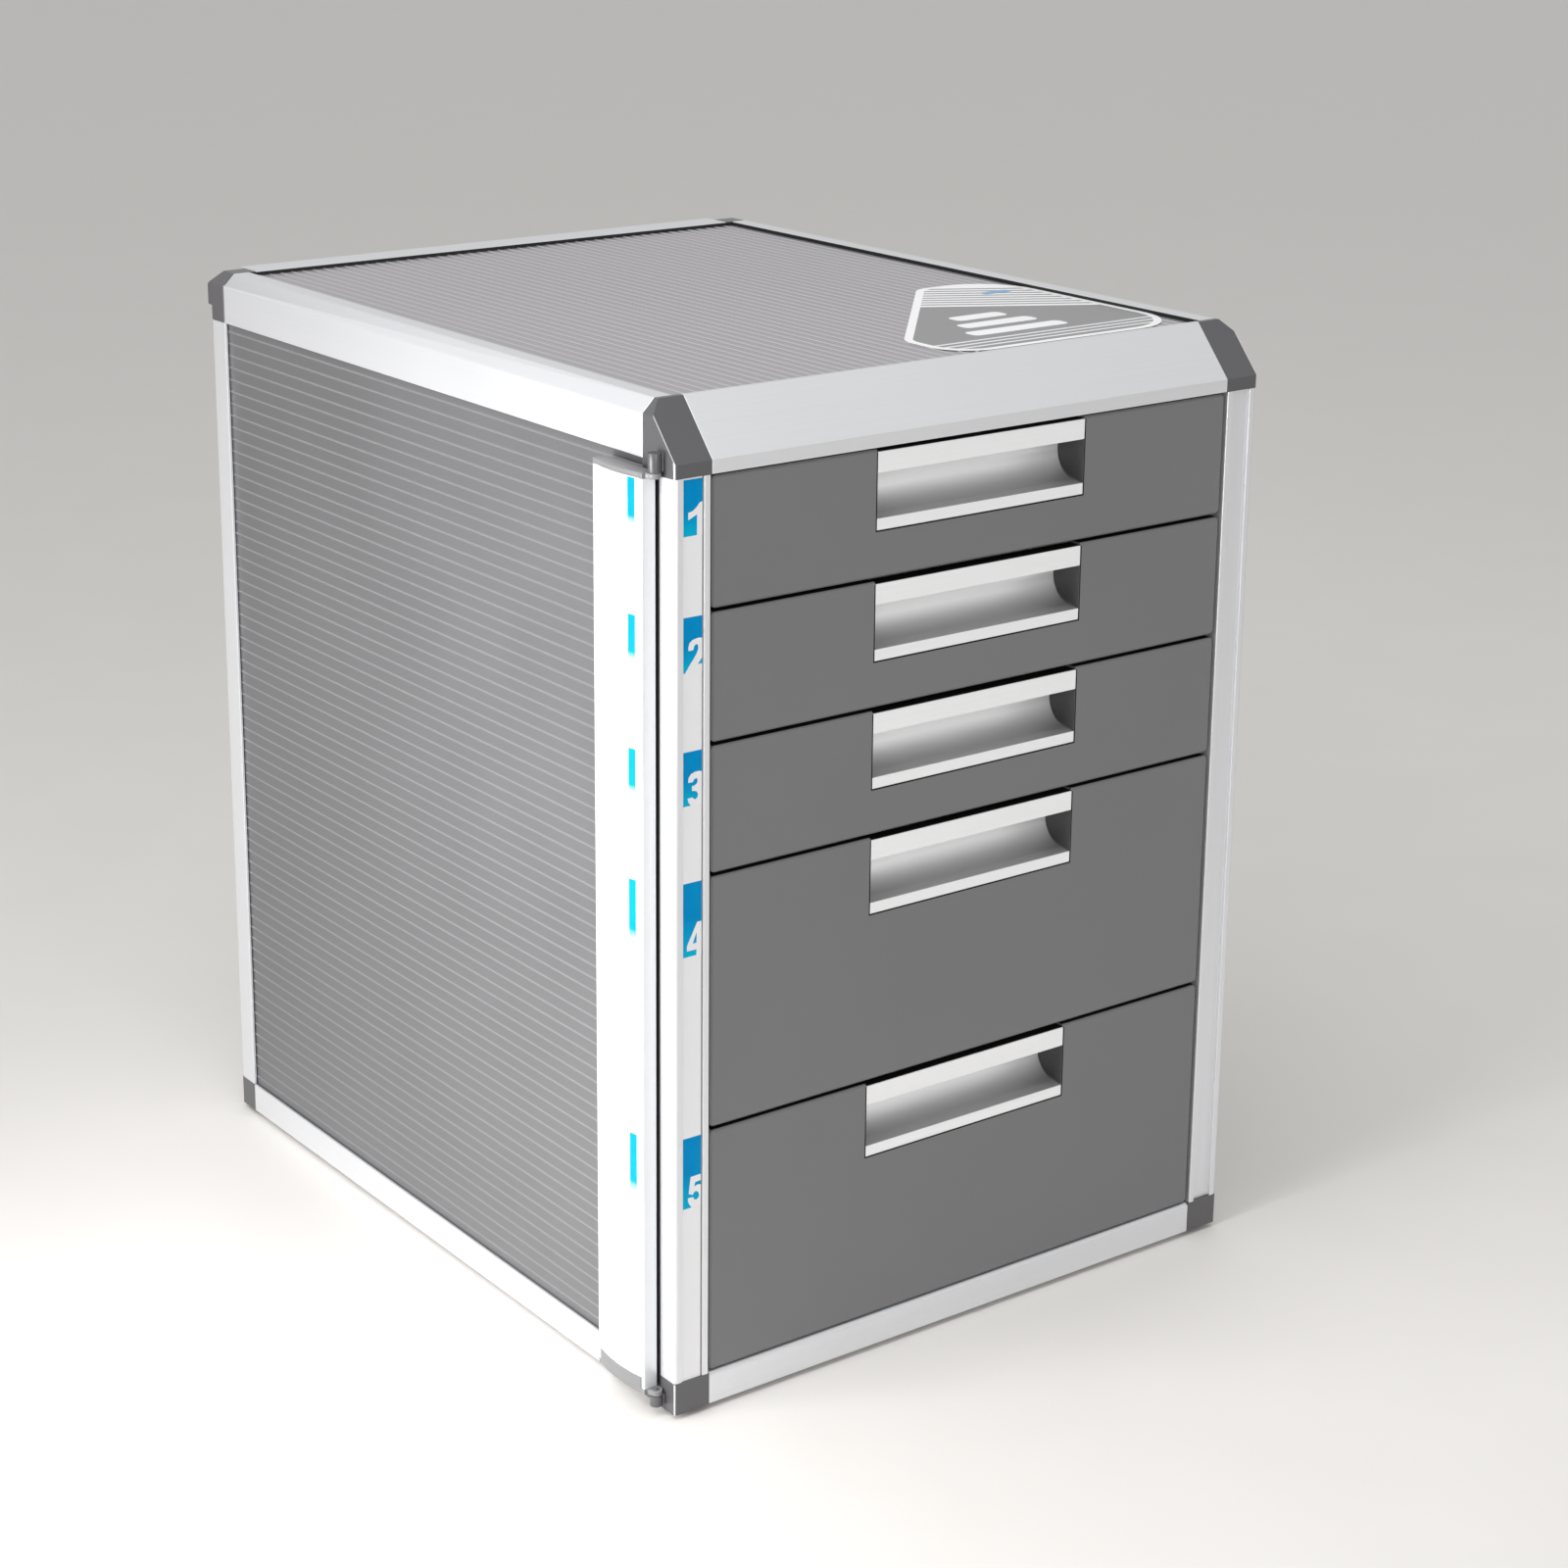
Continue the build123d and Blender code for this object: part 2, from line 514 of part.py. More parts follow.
def rear_top_block():
    lip_z = HEIGHT - REAR_LIP_HEIGHT
    profile = section_c([(0, SIDE_RAIL_Z), (0, lip_z), (-REAR_LIP, lip_z),
                         (-REAR_LIP, HEIGHT - SIDE_CHAMFER), (SIDE_CHAMFER - REAR_LIP, HEIGHT),
                         (REAR_DEPTH, HEIGHT), (REAR_DEPTH, SIDE_RAIL_Z)])
    body = along_x(profile, at_a(0), at_a(BLOCK_WIDTH))
    sides = section_a([(0, SIDE_RAIL_Z), (0, HEIGHT - SIDE_CHAMFER), (SIDE_CHAMFER, HEIGHT),
                       (BLOCK_WIDTH, HEIGHT), (BLOCK_WIDTH, SIDE_RAIL_Z)])
    body = body & along_y(sides, at_c(REAR_DEPTH), at_c(-REAR_LIP))
    body += along_x(section_c(box_points(shrunk(REAR_TOP_HOLLOW, TENON_FIT))), at_a(BLOCK_WIDTH),
                    at_a(BLOCK_WIDTH) + TENON_LENGTH)
    body += side_tenon(TOP_SIDE_HOLLOW, at_c(REAR_DEPTH) - TENON_LENGTH, at_c(REAR_DEPTH))
    post_tenon = [(at_a(a), at_c(c)) for a, c in box_points(shrunk(REAR_POST_HOLLOW, TENON_FIT))]
    body += along_z(face(post_tenon), SIDE_RAIL_Z - TENON_LENGTH, SIDE_RAIL_Z)
    return body


def rear_bottom_block():
    body = block(at_a(0), at_a(BLOCK_WIDTH), at_c(REAR_DEPTH), at_c(0), 0, BOTTOM_RAIL)
    body = round_upright(body, at_a(0), at_c(0))
    body += along_x(section_c(box_points(shrunk(REAR_LOW_HOLLOW, TENON_FIT))), at_a(BLOCK_WIDTH),
                    at_a(BLOCK_WIDTH) + TENON_LENGTH)
    body += side_tenon(LOW_SIDE_HOLLOW, at_c(REAR_DEPTH) - TENON_LENGTH, at_c(REAR_DEPTH))
    post_tenon = [(at_a(a), at_c(c)) for a, c in box_points(shrunk(REAR_POST_HOLLOW, TENON_FIT))]
    body += along_z(face(post_tenon), BOTTOM_RAIL, BOTTOM_RAIL + TENON_LENGTH)
    return body


def hinge_boss(z_low, z_high):
    """Boss on a left front block that holds one hinge pin of the index bar."""
    boss = rod_z(HINGE_RADIUS, z_low, z_high, HINGE_X, HINGE_Y)
    return boss + block(HINGE_X, at_a(0) + 1, HINGE_Y - BOSS_WEB / 2, HINGE_Y + BOSS_WEB / 2,
                        z_low, z_high)


def pin_hole(z_low, z_high):
    return rod_z(HINGE_PIN + 0.02, z_low, z_high, HINGE_X, HINGE_Y)


def frame():
    tops = side_top_rail()
    bottoms = side_bottom_rail()
    save(tops, "left_top_rail")
    save(other_side(tops), "right_top_rail")
    save(bottoms, "left_bottom_rail")
    save(other_side(bottoms), "right_bottom_rail")
    save(front_top_rail(), "front_top_rail")
    save(front_bottom_rail(), "front_bottom_rail")
    save(rear_top_rail(), "rear_top_rail")
    save(rear_bottom_rail(), "rear_bottom_rail")
    save(front_post(), "left_front_post")
    save(other_side(front_post()), "right_front_post")
    save(rear_post(), "left_rear_post")
    save(other_side(rear_post()), "right_rear_post")
    top_boss_low = BAR_TOP + HINGE_PLAY
    top_boss_high = top_boss_low + BOSS_HEIGHT_TOP
    low_boss_high = BAR_BOTTOM - HINGE_PLAY
    low_boss_low = low_boss_high - BOSS_HEIGHT_BOTTOM
    top_left = front_top_block() + hinge_boss(top_boss_low, top_boss_high)
    top_left -= pin_hole(top_boss_low, top_boss_high - 1)
    bottom_left = front_bottom_block() + hinge_boss(low_boss_low, low_boss_high)
    bottom_left -= pin_hole(low_boss_low + 1, low_boss_high)
    save(top_left, "corner_left_front_top")
    save(other_side(front_top_block()), "corner_right_front_top")
    save(bottom_left, "corner_left_front_bottom")
    save(other_side(front_bottom_block()), "corner_right_front_bottom")
    save(rear_top_block(), "corner_left_rear_top")
    save(other_side(rear_top_block()), "corner_right_rear_top")
    save(rear_bottom_block(), "corner_left_rear_bottom")
    save(other_side(rear_bottom_block()), "corner_right_rear_bottom")
    pins = rod_z(HINGE_PIN, BAR_TOP - BAR_CAP, top_boss_high - 1.2, HINGE_X, HINGE_Y)
    pins += rod_z(HINGE_PIN, low_boss_low + 1.2, BAR_BOTTOM + BAR_CAP, HINGE_X, HINGE_Y)
    save(pins, "hinge_pins")


# Panels
def ribbed_line(start, end, level):
    """Outline of a sheet whose outer face, at a level, carries ribs between two limits."""
    count = int((end - start) / RIB_PITCH)
    first = (start + end) / 2 - (count - 1) * RIB_PITCH / 2
    points = []
    for number in range(count):
        middle = first + number * RIB_PITCH
        points += [(middle - RIB_BASE / 2, level), (middle, level + RIB_HEIGHT),
                   (middle + RIB_BASE / 2, level)]
    return points


def side_panel():
    """Left side panel, ribs running front to back, corners cut clear of the blocks."""
    z_low = BOTTOM_RAIL - PANEL_GRIP
    z_high = SIDE_RAIL_Z + PANEL_GRIP
    outside = ribbed_line(BOTTOM_RAIL, SIDE_RAIL_Z, -PANEL_INSET)
    points = [(at_a(-level), z) for z, level in outside]
    points = [(at_a(PANEL_INSET), z_low)] + points + [(at_a(PANEL_INSET), z_high)]
    inner = at_a(PANEL_INSET + PANEL_THICKNESS)
    points += [(inner, z_high), (inner, z_low)]
    sheet = along_y(face(points), at_b(FRONT_DEPTH - PANEL_GRIP), at_c(REAR_DEPTH - PANEL_GRIP))
    reach = (at_a(0), at_a(FRONT_DEPTH))
    for y_low, y_high in ((at_b(0), at_b(FRONT_DEPTH)), (at_c(REAR_DEPTH), at_c(0))):
        sheet -= block(*reach, y_low, y_high, 0, BOTTOM_RAIL)
    sheet -= block(*reach, at_b(0), at_b(FRONT_DEPTH), OPENING_TOP, HEIGHT)
    sheet -= block(*reach, at_c(REAR_DEPTH), at_c(0), SIDE_RAIL_Z, HEIGHT)
    return sheet


def corner_cuts(z_low, z_high):
    """Space of the four corner blocks, taken out of a level panel."""
    cuts = []
    for y_low, y_high in ((at_b(0), at_b(FRONT_DEPTH)), (at_c(REAR_DEPTH), at_c(0))):
        left = block(at_a(0), at_a(BLOCK_WIDTH), y_low, y_high, z_low, z_high)
        cuts += [left, other_side(left)]
    return cuts


def top_panel():
    half = HALF_WIDTH - SIDE_RAIL_WIDTH
    level = HEIGHT - TOP_RECESS
    points = [(-half - PANEL_GRIP, level)] + ribbed_line(-half, half, level)
    points += [(half + PANEL_GRIP, level), (half + PANEL_GRIP, level - PANEL_THICKNESS),
               (-half - PANEL_GRIP, level - PANEL_THICKNESS)]
    sheet = along_y(face(points), at_b(FRONT_DEPTH - TOP_FRONT_GRIP), at_c(REAR_DEPTH - PANEL_GRIP))
    for cut in corner_cuts(SIDE_RAIL_Z, HEIGHT):
        sheet -= cut
    return sheet


def bottom_panel():
    half = HALF_WIDTH - SIDE_RAIL_WIDTH + PANEL_GRIP
    sheet = block(-half, half, at_b(FRONT_DEPTH - PANEL_GRIP), at_c(REAR_DEPTH - PANEL_GRIP),
                  BOTTOM_PANEL_Z, BOTTOM_PANEL_Z + PANEL_THICKNESS)
    for cut in corner_cuts(0, BOTTOM_RAIL):
        sheet -= cut
    return sheet


def rear_panel():
    half = HALF_OPENING + PANEL_GRIP
    y_high = at_c(REAR_INSET)
    sheet = block(-half, half, y_high - PANEL_THICKNESS, y_high,
                  BOTTOM_RAIL - PANEL_GRIP, SIDE_RAIL_Z + PANEL_GRIP)
    for z_low, z_high in ((0, BOTTOM_RAIL), (SIDE_RAIL_Z, HEIGHT)):
        for cut in corner_cuts(z_low, z_high):
            sheet -= cut
    return sheet


def panels():
    right = other_side(side_panel()) - rod_x(LOCK_BARREL + 0.1, PANEL_INNER - 1, HALF_WIDTH,
                                             LOCK_Y, LOCK_Z)
    save(side_panel(), "left_panel")
    save(right, "right_panel")
    save(top_panel(), "top_panel")
    save(bottom_panel(), "bottom_panel")
    save(rear_panel(), "rear_panel")


# Runner walls inside the frame, with a ledge and a guide for each drawer
def runner_wall():
    """Left runner wall."""
    y_low = at_b(FRONT_DEPTH) + RUNNER_FIT
    y_high = at_c(REAR_DEPTH) - RUNNER_FIT
    z_low = BOTTOM_PANEL_Z + PANEL_THICKNESS + RUNNER_FIT
    z_high = RAIL_BOX_Z - RUNNER_FIT
    wall = block(-RUNNER_OUT, -RUNNER_IN, y_low, y_high, z_low, z_high)
    for low, high in drawer_levels():
        flange_top = high - TRAY_DROP
        ledge_top = flange_top - FLANGE_THICKNESS - RUN_GAP
        wall += block(-RUNNER_IN, -HALF_TRAY - LEDGE_CLEARANCE, y_low, y_high,
                      ledge_top - LEDGE_THICKNESS, ledge_top)
        guide_low = flange_top + RUN_GAP
        wall += block(-RUNNER_IN, -HALF_TRAY - GUIDE_CLEARANCE, y_low, y_high,
                      guide_low, guide_low + GUIDE_THICKNESS)
        wall += block(-RUNNER_IN, -HALF_FLANGE - STOP_CLEARANCE, STOP_REAR_Y - STOP_LENGTH,
                      STOP_REAR_Y, ledge_top, guide_low)
    spacing = (y_high - y_low - WEB_THICKNESS) / (WEB_COUNT - 1)
    for number in range(WEB_COUNT):
        web_y = y_low + number * spacing
        wall += block(-PANEL_INNER + RUNNER_FIT, -RUNNER_OUT, web_y, web_y + WEB_THICKNESS,
                      BOTTOM_RAIL, SIDE_RAIL_Z - RUNNER_FIT)
    return wall


def rod_keeper(z_low):
    """One pair of hooks on the right runner wall that hold the locking rod."""
    half = ROD_WIDTH / 2
    lip_in = ROD_OUT_X + ROD_GAP
    keeper = []
    for side in (-1, 1):
        near = ROD_Y + side * (half + ROD_GAP)
        far = near + side * KEEPER_WALL
        tip = ROD_Y + side * (half - KEEPER_WALL)
        keeper.append(block(RUNNER_OUT, lip_in + KEEPER_WALL, min(near, far), max(near, far),
                            z_low, z_low + KEEPER_HEIGHT))
        keeper.append(block(lip_in, lip_in + KEEPER_WALL, min(tip, far), max(tip, far),
                            z_low, z_low + KEEPER_HEIGHT))
    return keeper


def runners():
    left = runner_wall()
    right = other_side(left)
    span = LOCK_Z - BOTTOM_RAIL
    for number in range(KEEPER_COUNT):
        for hook in rod_keeper(BOTTOM_RAIL + span * (number + 0.5) / (KEEPER_COUNT + 0.5)):
            right += hook
    for low, high in drawer_levels():
        right -= block(RUNNER_IN - 1, RUNNER_OUT + 1, FINGER_Y - 0.6, FINGER_Y + FINGER_WIDTH + 0.6,
                       low + FINGER_RISE - ROD_STROKE - 0.6, low + FINGER_RISE + FINGER_HEIGHT + 0.6)
    save(left, "left_runner_wall")
    save(right, "right_runner_wall")


# Lock on the right side: barrel, nut, plug, cam and the rod that the cam lifts and lowers
def lock():
    inner_x = CAM_OUT_X + 0.2
    barrel = rod_x(LOCK_BARREL, inner_x, BEZEL_X, LOCK_Y, LOCK_Z)
    bezel = rod_x(LOCK_BEZEL, BEZEL_X, LOCK_OUT_X, LOCK_Y, LOCK_Z)
    bezel = chamfer(bezel.edges().sort_by(Axis.X)[-1], 0.6)
    barrel = barrel + bezel - rod_x(LOCK_PLUG + PLUG_FIT, inner_x, LOCK_OUT_X, LOCK_Y, LOCK_Z)
    save(barrel, "lock_barrel")
    nut = RegularPolygon(LOCK_NUT, 6)
    nut = Pos(PANEL_INNER - LOCK_NUT_THICKNESS, LOCK_Y, LOCK_Z) * extrude(
        Plane.YZ * nut, amount=LOCK_NUT_THICKNESS)
    save(nut - rod_x(LOCK_BARREL + 0.02, inner_x, BEZEL_X, LOCK_Y, LOCK_Z), "lock_nut")
    plug = rod_x(LOCK_PLUG, CAM_OUT_X, LOCK_OUT_X - 0.3, LOCK_Y, LOCK_Z)
    half = KEYWAY_WIDTH / 2
    plug -= block(LOCK_OUT_X - KEYWAY_DEPTH, LOCK_OUT_X, LOCK_Y - half, LOCK_Y + half,
                  LOCK_Z - KEYWAY_HEIGHT / 2, LOCK_Z + KEYWAY_HEIGHT / 2)
    save(plug, "lock_plug")
    pin_z = LOCK_Z + CAM_RADIUS * math.sin(math.pi / 4)
    arm = rod_x(LOCK_PLUG - 1, CAM_IN_X, CAM_OUT_X, LOCK_Y, LOCK_Z)
    arm += rod_x(CAM_PIN + 1, CAM_IN_X, CAM_OUT_X, PIN_Y, pin_z)
    arm += rod_x(CAM_PIN, ROD_IN_X + 0.2, CAM_IN_X, PIN_Y, pin_z)
    save(arm, "lock_cam")
    slot_half = CAM_PIN + SLOT_PLAY
    rod_low = drawer_levels()[-1][0] + ROD_FOOT
    rod = block(ROD_IN_X, ROD_OUT_X, ROD_Y - ROD_WIDTH / 2, ROD_Y + ROD_WIDTH / 2,
                rod_low, pin_z - ROD_HEAD / 2)
    rod += block(ROD_IN_X, ROD_OUT_X, ROD_Y - ROD_HEAD / 2, ROD_Y + ROD_HEAD / 2,
                 pin_z - ROD_HEAD / 2, pin_z + ROD_HEAD / 2)
    slot_far = LOCK_Y + CAM_RADIUS + CAM_PIN + SLOT_PLAY
    rod -= block(ROD_IN_X, ROD_OUT_X, PIN_Y - slot_half, slot_far,
                 pin_z - slot_half, pin_z + slot_half)
    save(rod, "locking_rod")
    fingers = [block(HALF_TRAY + FINGER_TIP_GAP, ROD_IN_X, FINGER_Y, FINGER_Y + FINGER_WIDTH,
                     low + FINGER_RISE, low + FINGER_RISE + FINGER_HEIGHT)
               for low, high in drawer_levels()]
    save(Compound(children=fingers), "rod_fingers")


# Index bar: extruded profile with a bowed card between two caps that turn on the hinge pins
def bowed(x_edge, y_low, y_high, bulge):
    """Arc that bows outwards, to the left, between two points."""
    return ThreePointArc((x_edge, y_low), (x_edge - bulge, (y_low + y_high) / 2), (x_edge, y_high))


def bar_outline():
    """Outer section of the index bar, with its card recess."""
    low = BAR_FRONT_Y + BAR_FRONT_LIP
    high = BAR_REAR_Y - BAR_REAR_LIP
    lines = [Line((BAR_INNER_X, BAR_REAR_Y), (BAR_INNER_X, BAR_FRONT_Y)),
             Line((BAR_INNER_X, BAR_FRONT_Y), (BAR_OUTER_X, BAR_FRONT_Y)),
             Line((BAR_OUTER_X, BAR_FRONT_Y), (BAR_OUTER_X, low)),
             Line((BAR_OUTER_X, low), (BAR_FLOOR_X, low)),
             bowed(BAR_FLOOR_X, low, high, CARD_BULGE),
             Line((BAR_FLOOR_X, high), (BAR_OUTER_X, high)),
             Line((BAR_OUTER_X, high), (BAR_OUTER_X, BAR_REAR_Y)),
             Line((BAR_OUTER_X, BAR_REAR_Y), (BAR_INNER_X, BAR_REAR_Y))]
    return make_face(Wire(lines))


def bar_hollow(inset):
    x_high = BAR_INNER_X - BAR_WALL - inset
    x_low = BAR_FLOOR_X + BAR_WALL + inset
    y_low = BAR_FRONT_Y + BAR_WALL + inset
    y_high = BAR_REAR_Y - BAR_WALL - inset
    return face([(x_low, y_low), (x_high, y_low), (x_high, y_high), (x_low, y_high)])


def cap_outline():
    low = BAR_FRONT_Y + BAR_FRONT_LIP
    high = BAR_REAR_Y - BAR_REAR_LIP
    lines = [Line((BAR_INNER_X, BAR_REAR_Y), (BAR_INNER_X, BAR_FRONT_Y)),
             Line((BAR_INNER_X, BAR_FRONT_Y), (BAR_OUTER_X, BAR_FRONT_Y)),
             Line((BAR_OUTER_X, BAR_FRONT_Y), (BAR_OUTER_X, low)),
             bowed(BAR_OUTER_X, low, high, BAR_OUTER_X - CARD_OUTER_X),
             Line((BAR_OUTER_X, high), (BAR_OUTER_X, BAR_REAR_Y)),
             Line((BAR_OUTER_X, BAR_REAR_Y), (BAR_INNER_X, BAR_REAR_Y))]
    return make_face(Wire(lines))


def cap_plate(z_low, z_high):
    """End plate of the bar with the tongue that turns on the hinge pin."""
    plate = cap_outline()
    tongue = face([(HINGE_X - HINGE_RADIUS, HINGE_Y), (HINGE_X + HINGE_RADIUS, HINGE_Y),
                   (BAR_INNER_X, BAR_FRONT_Y + TONGUE_ROOT),
                   (BAR_INNER_X - TONGUE_WIDTH, BAR_FRONT_Y + TONGUE_ROOT)])
    plate = plate + tongue + Pos(HINGE_X, HINGE_Y) * Circle(HINGE_RADIUS)
    plate = plate - Pos(HINGE_X, HINGE_Y) * Circle(HINGE_PIN + HINGE_FIT)
    return along_z(plate, z_low, z_high)


def index_bar():
    low = BAR_BOTTOM + BAR_CAP
    high = BAR_TOP - BAR_CAP
    save(along_z(bar_outline() - bar_hollow(0), low, high), "index_bar")
    y_low = BAR_FRONT_Y + BAR_FRONT_LIP + 0.15
    y_high = BAR_REAR_Y - BAR_REAR_LIP - 0.15
    inner_x = BAR_FLOOR_X - CARD_FIT
    outer_x = inner_x - CARD_THICKNESS
    card = make_face(Wire([bowed(inner_x, y_low, y_high, CARD_BULGE),
                           Line((inner_x, y_high), (outer_x, y_high)),
                           bowed(outer_x, y_low, y_high, CARD_BULGE),
                           Line((outer_x, y_low), (inner_x, y_low))]))
    save(along_z(card, low + 0.1, high - 0.1), "index_card")
    spigot = bar_hollow(TENON_FIT)
    save(cap_plate(high, BAR_TOP) + along_z(spigot, high - BAR_SPIGOT, high), "index_top_cap")
    save(cap_plate(BAR_BOTTOM, low) + along_z(spigot, low, low + BAR_SPIGOT), "index_bottom_cap")


def number_strip():
    strip = block(at_a(GROOVE_START + STRIP_FIT), at_a(GROOVE_START + GROOVE_WIDTH - STRIP_FIT),
                  at_b(GROOVE_DEPTH - STRIP_THICKNESS), at_b(GROOVE_DEPTH), BOTTOM_RAIL, OPENING_TOP)
    save(strip, "number_strip")


# Drawers
def cove_floor(depth):
    """Height of the finger recess floor, which climbs a little towards its back."""
    return HANDLE_LIP - HANDLE_HEIGHT + COVE_RISE * depth / (HANDLE_DEPTH - HANDLE_BACK)


def handle_section():
    """Handle profile in (y, z), with z counted from the handle's top and a hollow cove inside."""
    back_in = HANDLE_DEPTH - HANDLE_BACK
    under_back = cove_floor(HANDLE_DEPTH) - HANDLE_WALL
    points = [(0, 0), (0, -HANDLE_BAR), (HANDLE_BAR_THICKNESS, -HANDLE_BAR),
              (HANDLE_BAR_THICKNESS, -HANDLE_WALL), (back_in, -HANDLE_WALL),
              (back_in, cove_floor(back_in)), (0, cove_floor(0)), (0, -HANDLE_HEIGHT),
              (HANDLE_WALL, -HANDLE_HEIGHT), (HANDLE_WALL, cove_floor(HANDLE_WALL) - HANDLE_WALL),
              (HANDLE_DEPTH, under_back), (HANDLE_DEPTH, 0)]
    section = face([(FRONT_Y + depth, z) for depth, z in points])
    for depth, z, radius in ((back_in, cove_floor(back_in), COVE_RADIUS),
                             (HANDLE_DEPTH, under_back, COVE_RADIUS + HANDLE_WALL)):
        corner = section.vertices().sort_by_distance((FRONT_Y + depth, z, 0))[0]
        section = fillet(corner, radius)
    return section


def drawer_handle(top_z):
    bar = along_x(handle_section(), -HANDLE_LENGTH / 2, HANDLE_LENGTH / 2)
    return Pos(0, 0, top_z) * bar


def hook_places(low, high):
    """Middle and lower face of each hook of a drawer front."""
    return [(x, z) for x in (-HOOK_X, HOOK_X) for z in (low + HOOK_LOW_RISE, high - HOOK_TOP_DROP)]


def hook(x, z):
    """Flat hook that passes through the tray's front wall and drops behind its edge."""
    half = HOOK_WIDTH / 2
    behind = TRAY_FRONT_Y + TRAY_WALL
    arm = block(x - half, x + half, FRONT_Y + FRONT_WALL / 2, behind + HOOK_HEAD,
                z, z + HOOK_THICKNESS)
    barb = block(x - half, x + half, behind + HOOK_PLAY, behind + HOOK_HEAD, z - HOOK_BARB, z)
    return arm + barb


def drawer_front(low, high, top_z):
    """Hollow moulded front with the cut-out and its walls that hold the handle."""
    width = 2 * HALF_FRONT
    front_low = low + FRONT_GAP
    front_high = high - FRONT_GAP
    middle = (front_low + front_high) / 2
    height = front_high - front_low
    outer = Pos(0, middle) * RectangleRounded(width, height, FRONT_CORNER)
    body = along_y(outer, FRONT_Y, TRAY_FRONT_Y)
    front_edges = [e for e in body.edges() if abs(e.center().Y - FRONT_Y) < 0.01]
    body = chamfer(front_edges, FRONT_EDGE)
    inner = Pos(0, middle) * Rectangle(width - 2 * FRONT_WALL, height - 2 * FRONT_WALL)
    body -= along_y(inner, FRONT_Y + FRONT_WALL, TRAY_FRONT_Y)
    half = HANDLE_LENGTH / 2 + HANDLE_FIT
    cut_low = top_z - HANDLE_HEIGHT - HANDLE_FIT
    body += block(-half - RETURN_WALL, half + RETURN_WALL, FRONT_Y + FRONT_WALL / 2,
                  TRAY_FRONT_Y, cut_low - RETURN_WALL, front_high - FRONT_WALL / 2)
    body -= block(-half, half, FRONT_Y - 1, TRAY_FRONT_Y + 1, cut_low, front_high + 1)
    for x, z in hook_places(low, high):
        body += hook(x, z)
    return body


def drawer_tray(low, high):
    """Open tray with rounded rear corners and slots for the hooks of its front."""
    bottom = low + TRAY_RISE
    top = high - TRAY_DROP
    middle_y = (TRAY_FRONT_Y + TRAY_REAR_Y) / 2
    outer = Pos(0, middle_y) * Rectangle(2 * HALF_TRAY, TRAY_LENGTH)
    inner = Pos(0, middle_y) * Rectangle(2 * (HALF_TRAY - TRAY_WALL), TRAY_LENGTH - 2 * TRAY_WALL)
    outer = fillet(outer.vertices().sort_by(Axis.Y)[-2:], TRAY_CORNER)
    inner = fillet(inner.vertices().sort_by(Axis.Y)[-2:], TRAY_CORNER - TRAY_WALL)
    tray = along_z(outer, bottom, top)
    tray -= along_z(inner, bottom + TRAY_WALL, top)
    half = HOOK_WIDTH / 2 + HOOK_PLAY
    for x, z in hook_places(low, high):
        tray -= block(x - half, x + half, TRAY_FRONT_Y - 1, TRAY_FRONT_Y + TRAY_WALL + 1,
                      z, z + HOOK_THICKNESS + HOOK_BARB + HOOK_PLAY)
    return tray


def drawer_runners(low, high):
    """Strips that ride the ledges, each with a stop lug at its rear, and the lock's catch."""
    top = high - TRAY_DROP
    rear = TRAY_REAR_Y - TRAY_CORNER
    left = block(-HALF_FLANGE, -HALF_TRAY, TRAY_FRONT_Y + TRAY_CORNER, rear,
                 top - FLANGE_THICKNESS, top)
    left += block(-HALF_LUG, -HALF_TRAY, LUG_FRONT_Y, rear, top - FLANGE_THICKNESS, top)
    catch = block(HALF_TRAY, HALF_TRAY + CATCH_REACH, CATCH_Y, CATCH_Y + CATCH_LENGTH,
                  low + FINGER_RISE - ROD_STROKE - CATCH_MARGIN / 2, low + FINGER_RISE - CATCH_MARGIN)
    return Compound(children=[left, other_side(left), catch])


def drawers():
    for number, (low, high) in enumerate(drawer_levels(), start=1):
        handle_top = high - FRONT_GAP - HANDLE_DROP
        save(drawer_front(low, high, handle_top), f"drawer_{number}_front")
        save(drawer_handle(handle_top), f"drawer_{number}_handle")
        save(drawer_tray(low, high), f"drawer_{number}_tray")
        save(drawer_runners(low, high), f"drawer_{number}_runners")


def feet():
    """Square pads, one under each corner block."""
    half = FOOT_SIDE / 2
    pads = []
    for x in (at_a(BLOCK_WIDTH / 2), -at_a(BLOCK_WIDTH / 2)):
        for y in (at_b(FRONT_DEPTH / 2), at_c(REAR_DEPTH / 2)):
            pads.append(block(x - half, x + half, y - half, y + half, -FOOT_HEIGHT, 0))
    save(Compound(children=pads), "feet")


os.makedirs("parts", exist_ok=True)
frame()
panels()
runners()
lock()
index_bar()
number_strip()
drawers()
feet()
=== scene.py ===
import math

import bpy
from mathutils import Matrix, Vector


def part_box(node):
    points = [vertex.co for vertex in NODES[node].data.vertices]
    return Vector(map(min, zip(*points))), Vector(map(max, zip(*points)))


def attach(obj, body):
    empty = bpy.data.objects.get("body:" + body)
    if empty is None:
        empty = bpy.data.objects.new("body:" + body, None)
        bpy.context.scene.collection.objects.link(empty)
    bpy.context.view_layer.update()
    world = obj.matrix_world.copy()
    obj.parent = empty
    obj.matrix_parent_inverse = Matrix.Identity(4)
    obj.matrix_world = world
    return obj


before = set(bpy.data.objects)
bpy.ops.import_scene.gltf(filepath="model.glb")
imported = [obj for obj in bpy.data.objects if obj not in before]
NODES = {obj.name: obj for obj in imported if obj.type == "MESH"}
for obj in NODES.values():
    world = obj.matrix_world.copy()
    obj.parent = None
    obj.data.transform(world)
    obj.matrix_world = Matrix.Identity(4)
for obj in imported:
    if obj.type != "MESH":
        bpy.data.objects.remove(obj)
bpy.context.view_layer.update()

MM = 0.001
DRAWERS = range(1, 6)

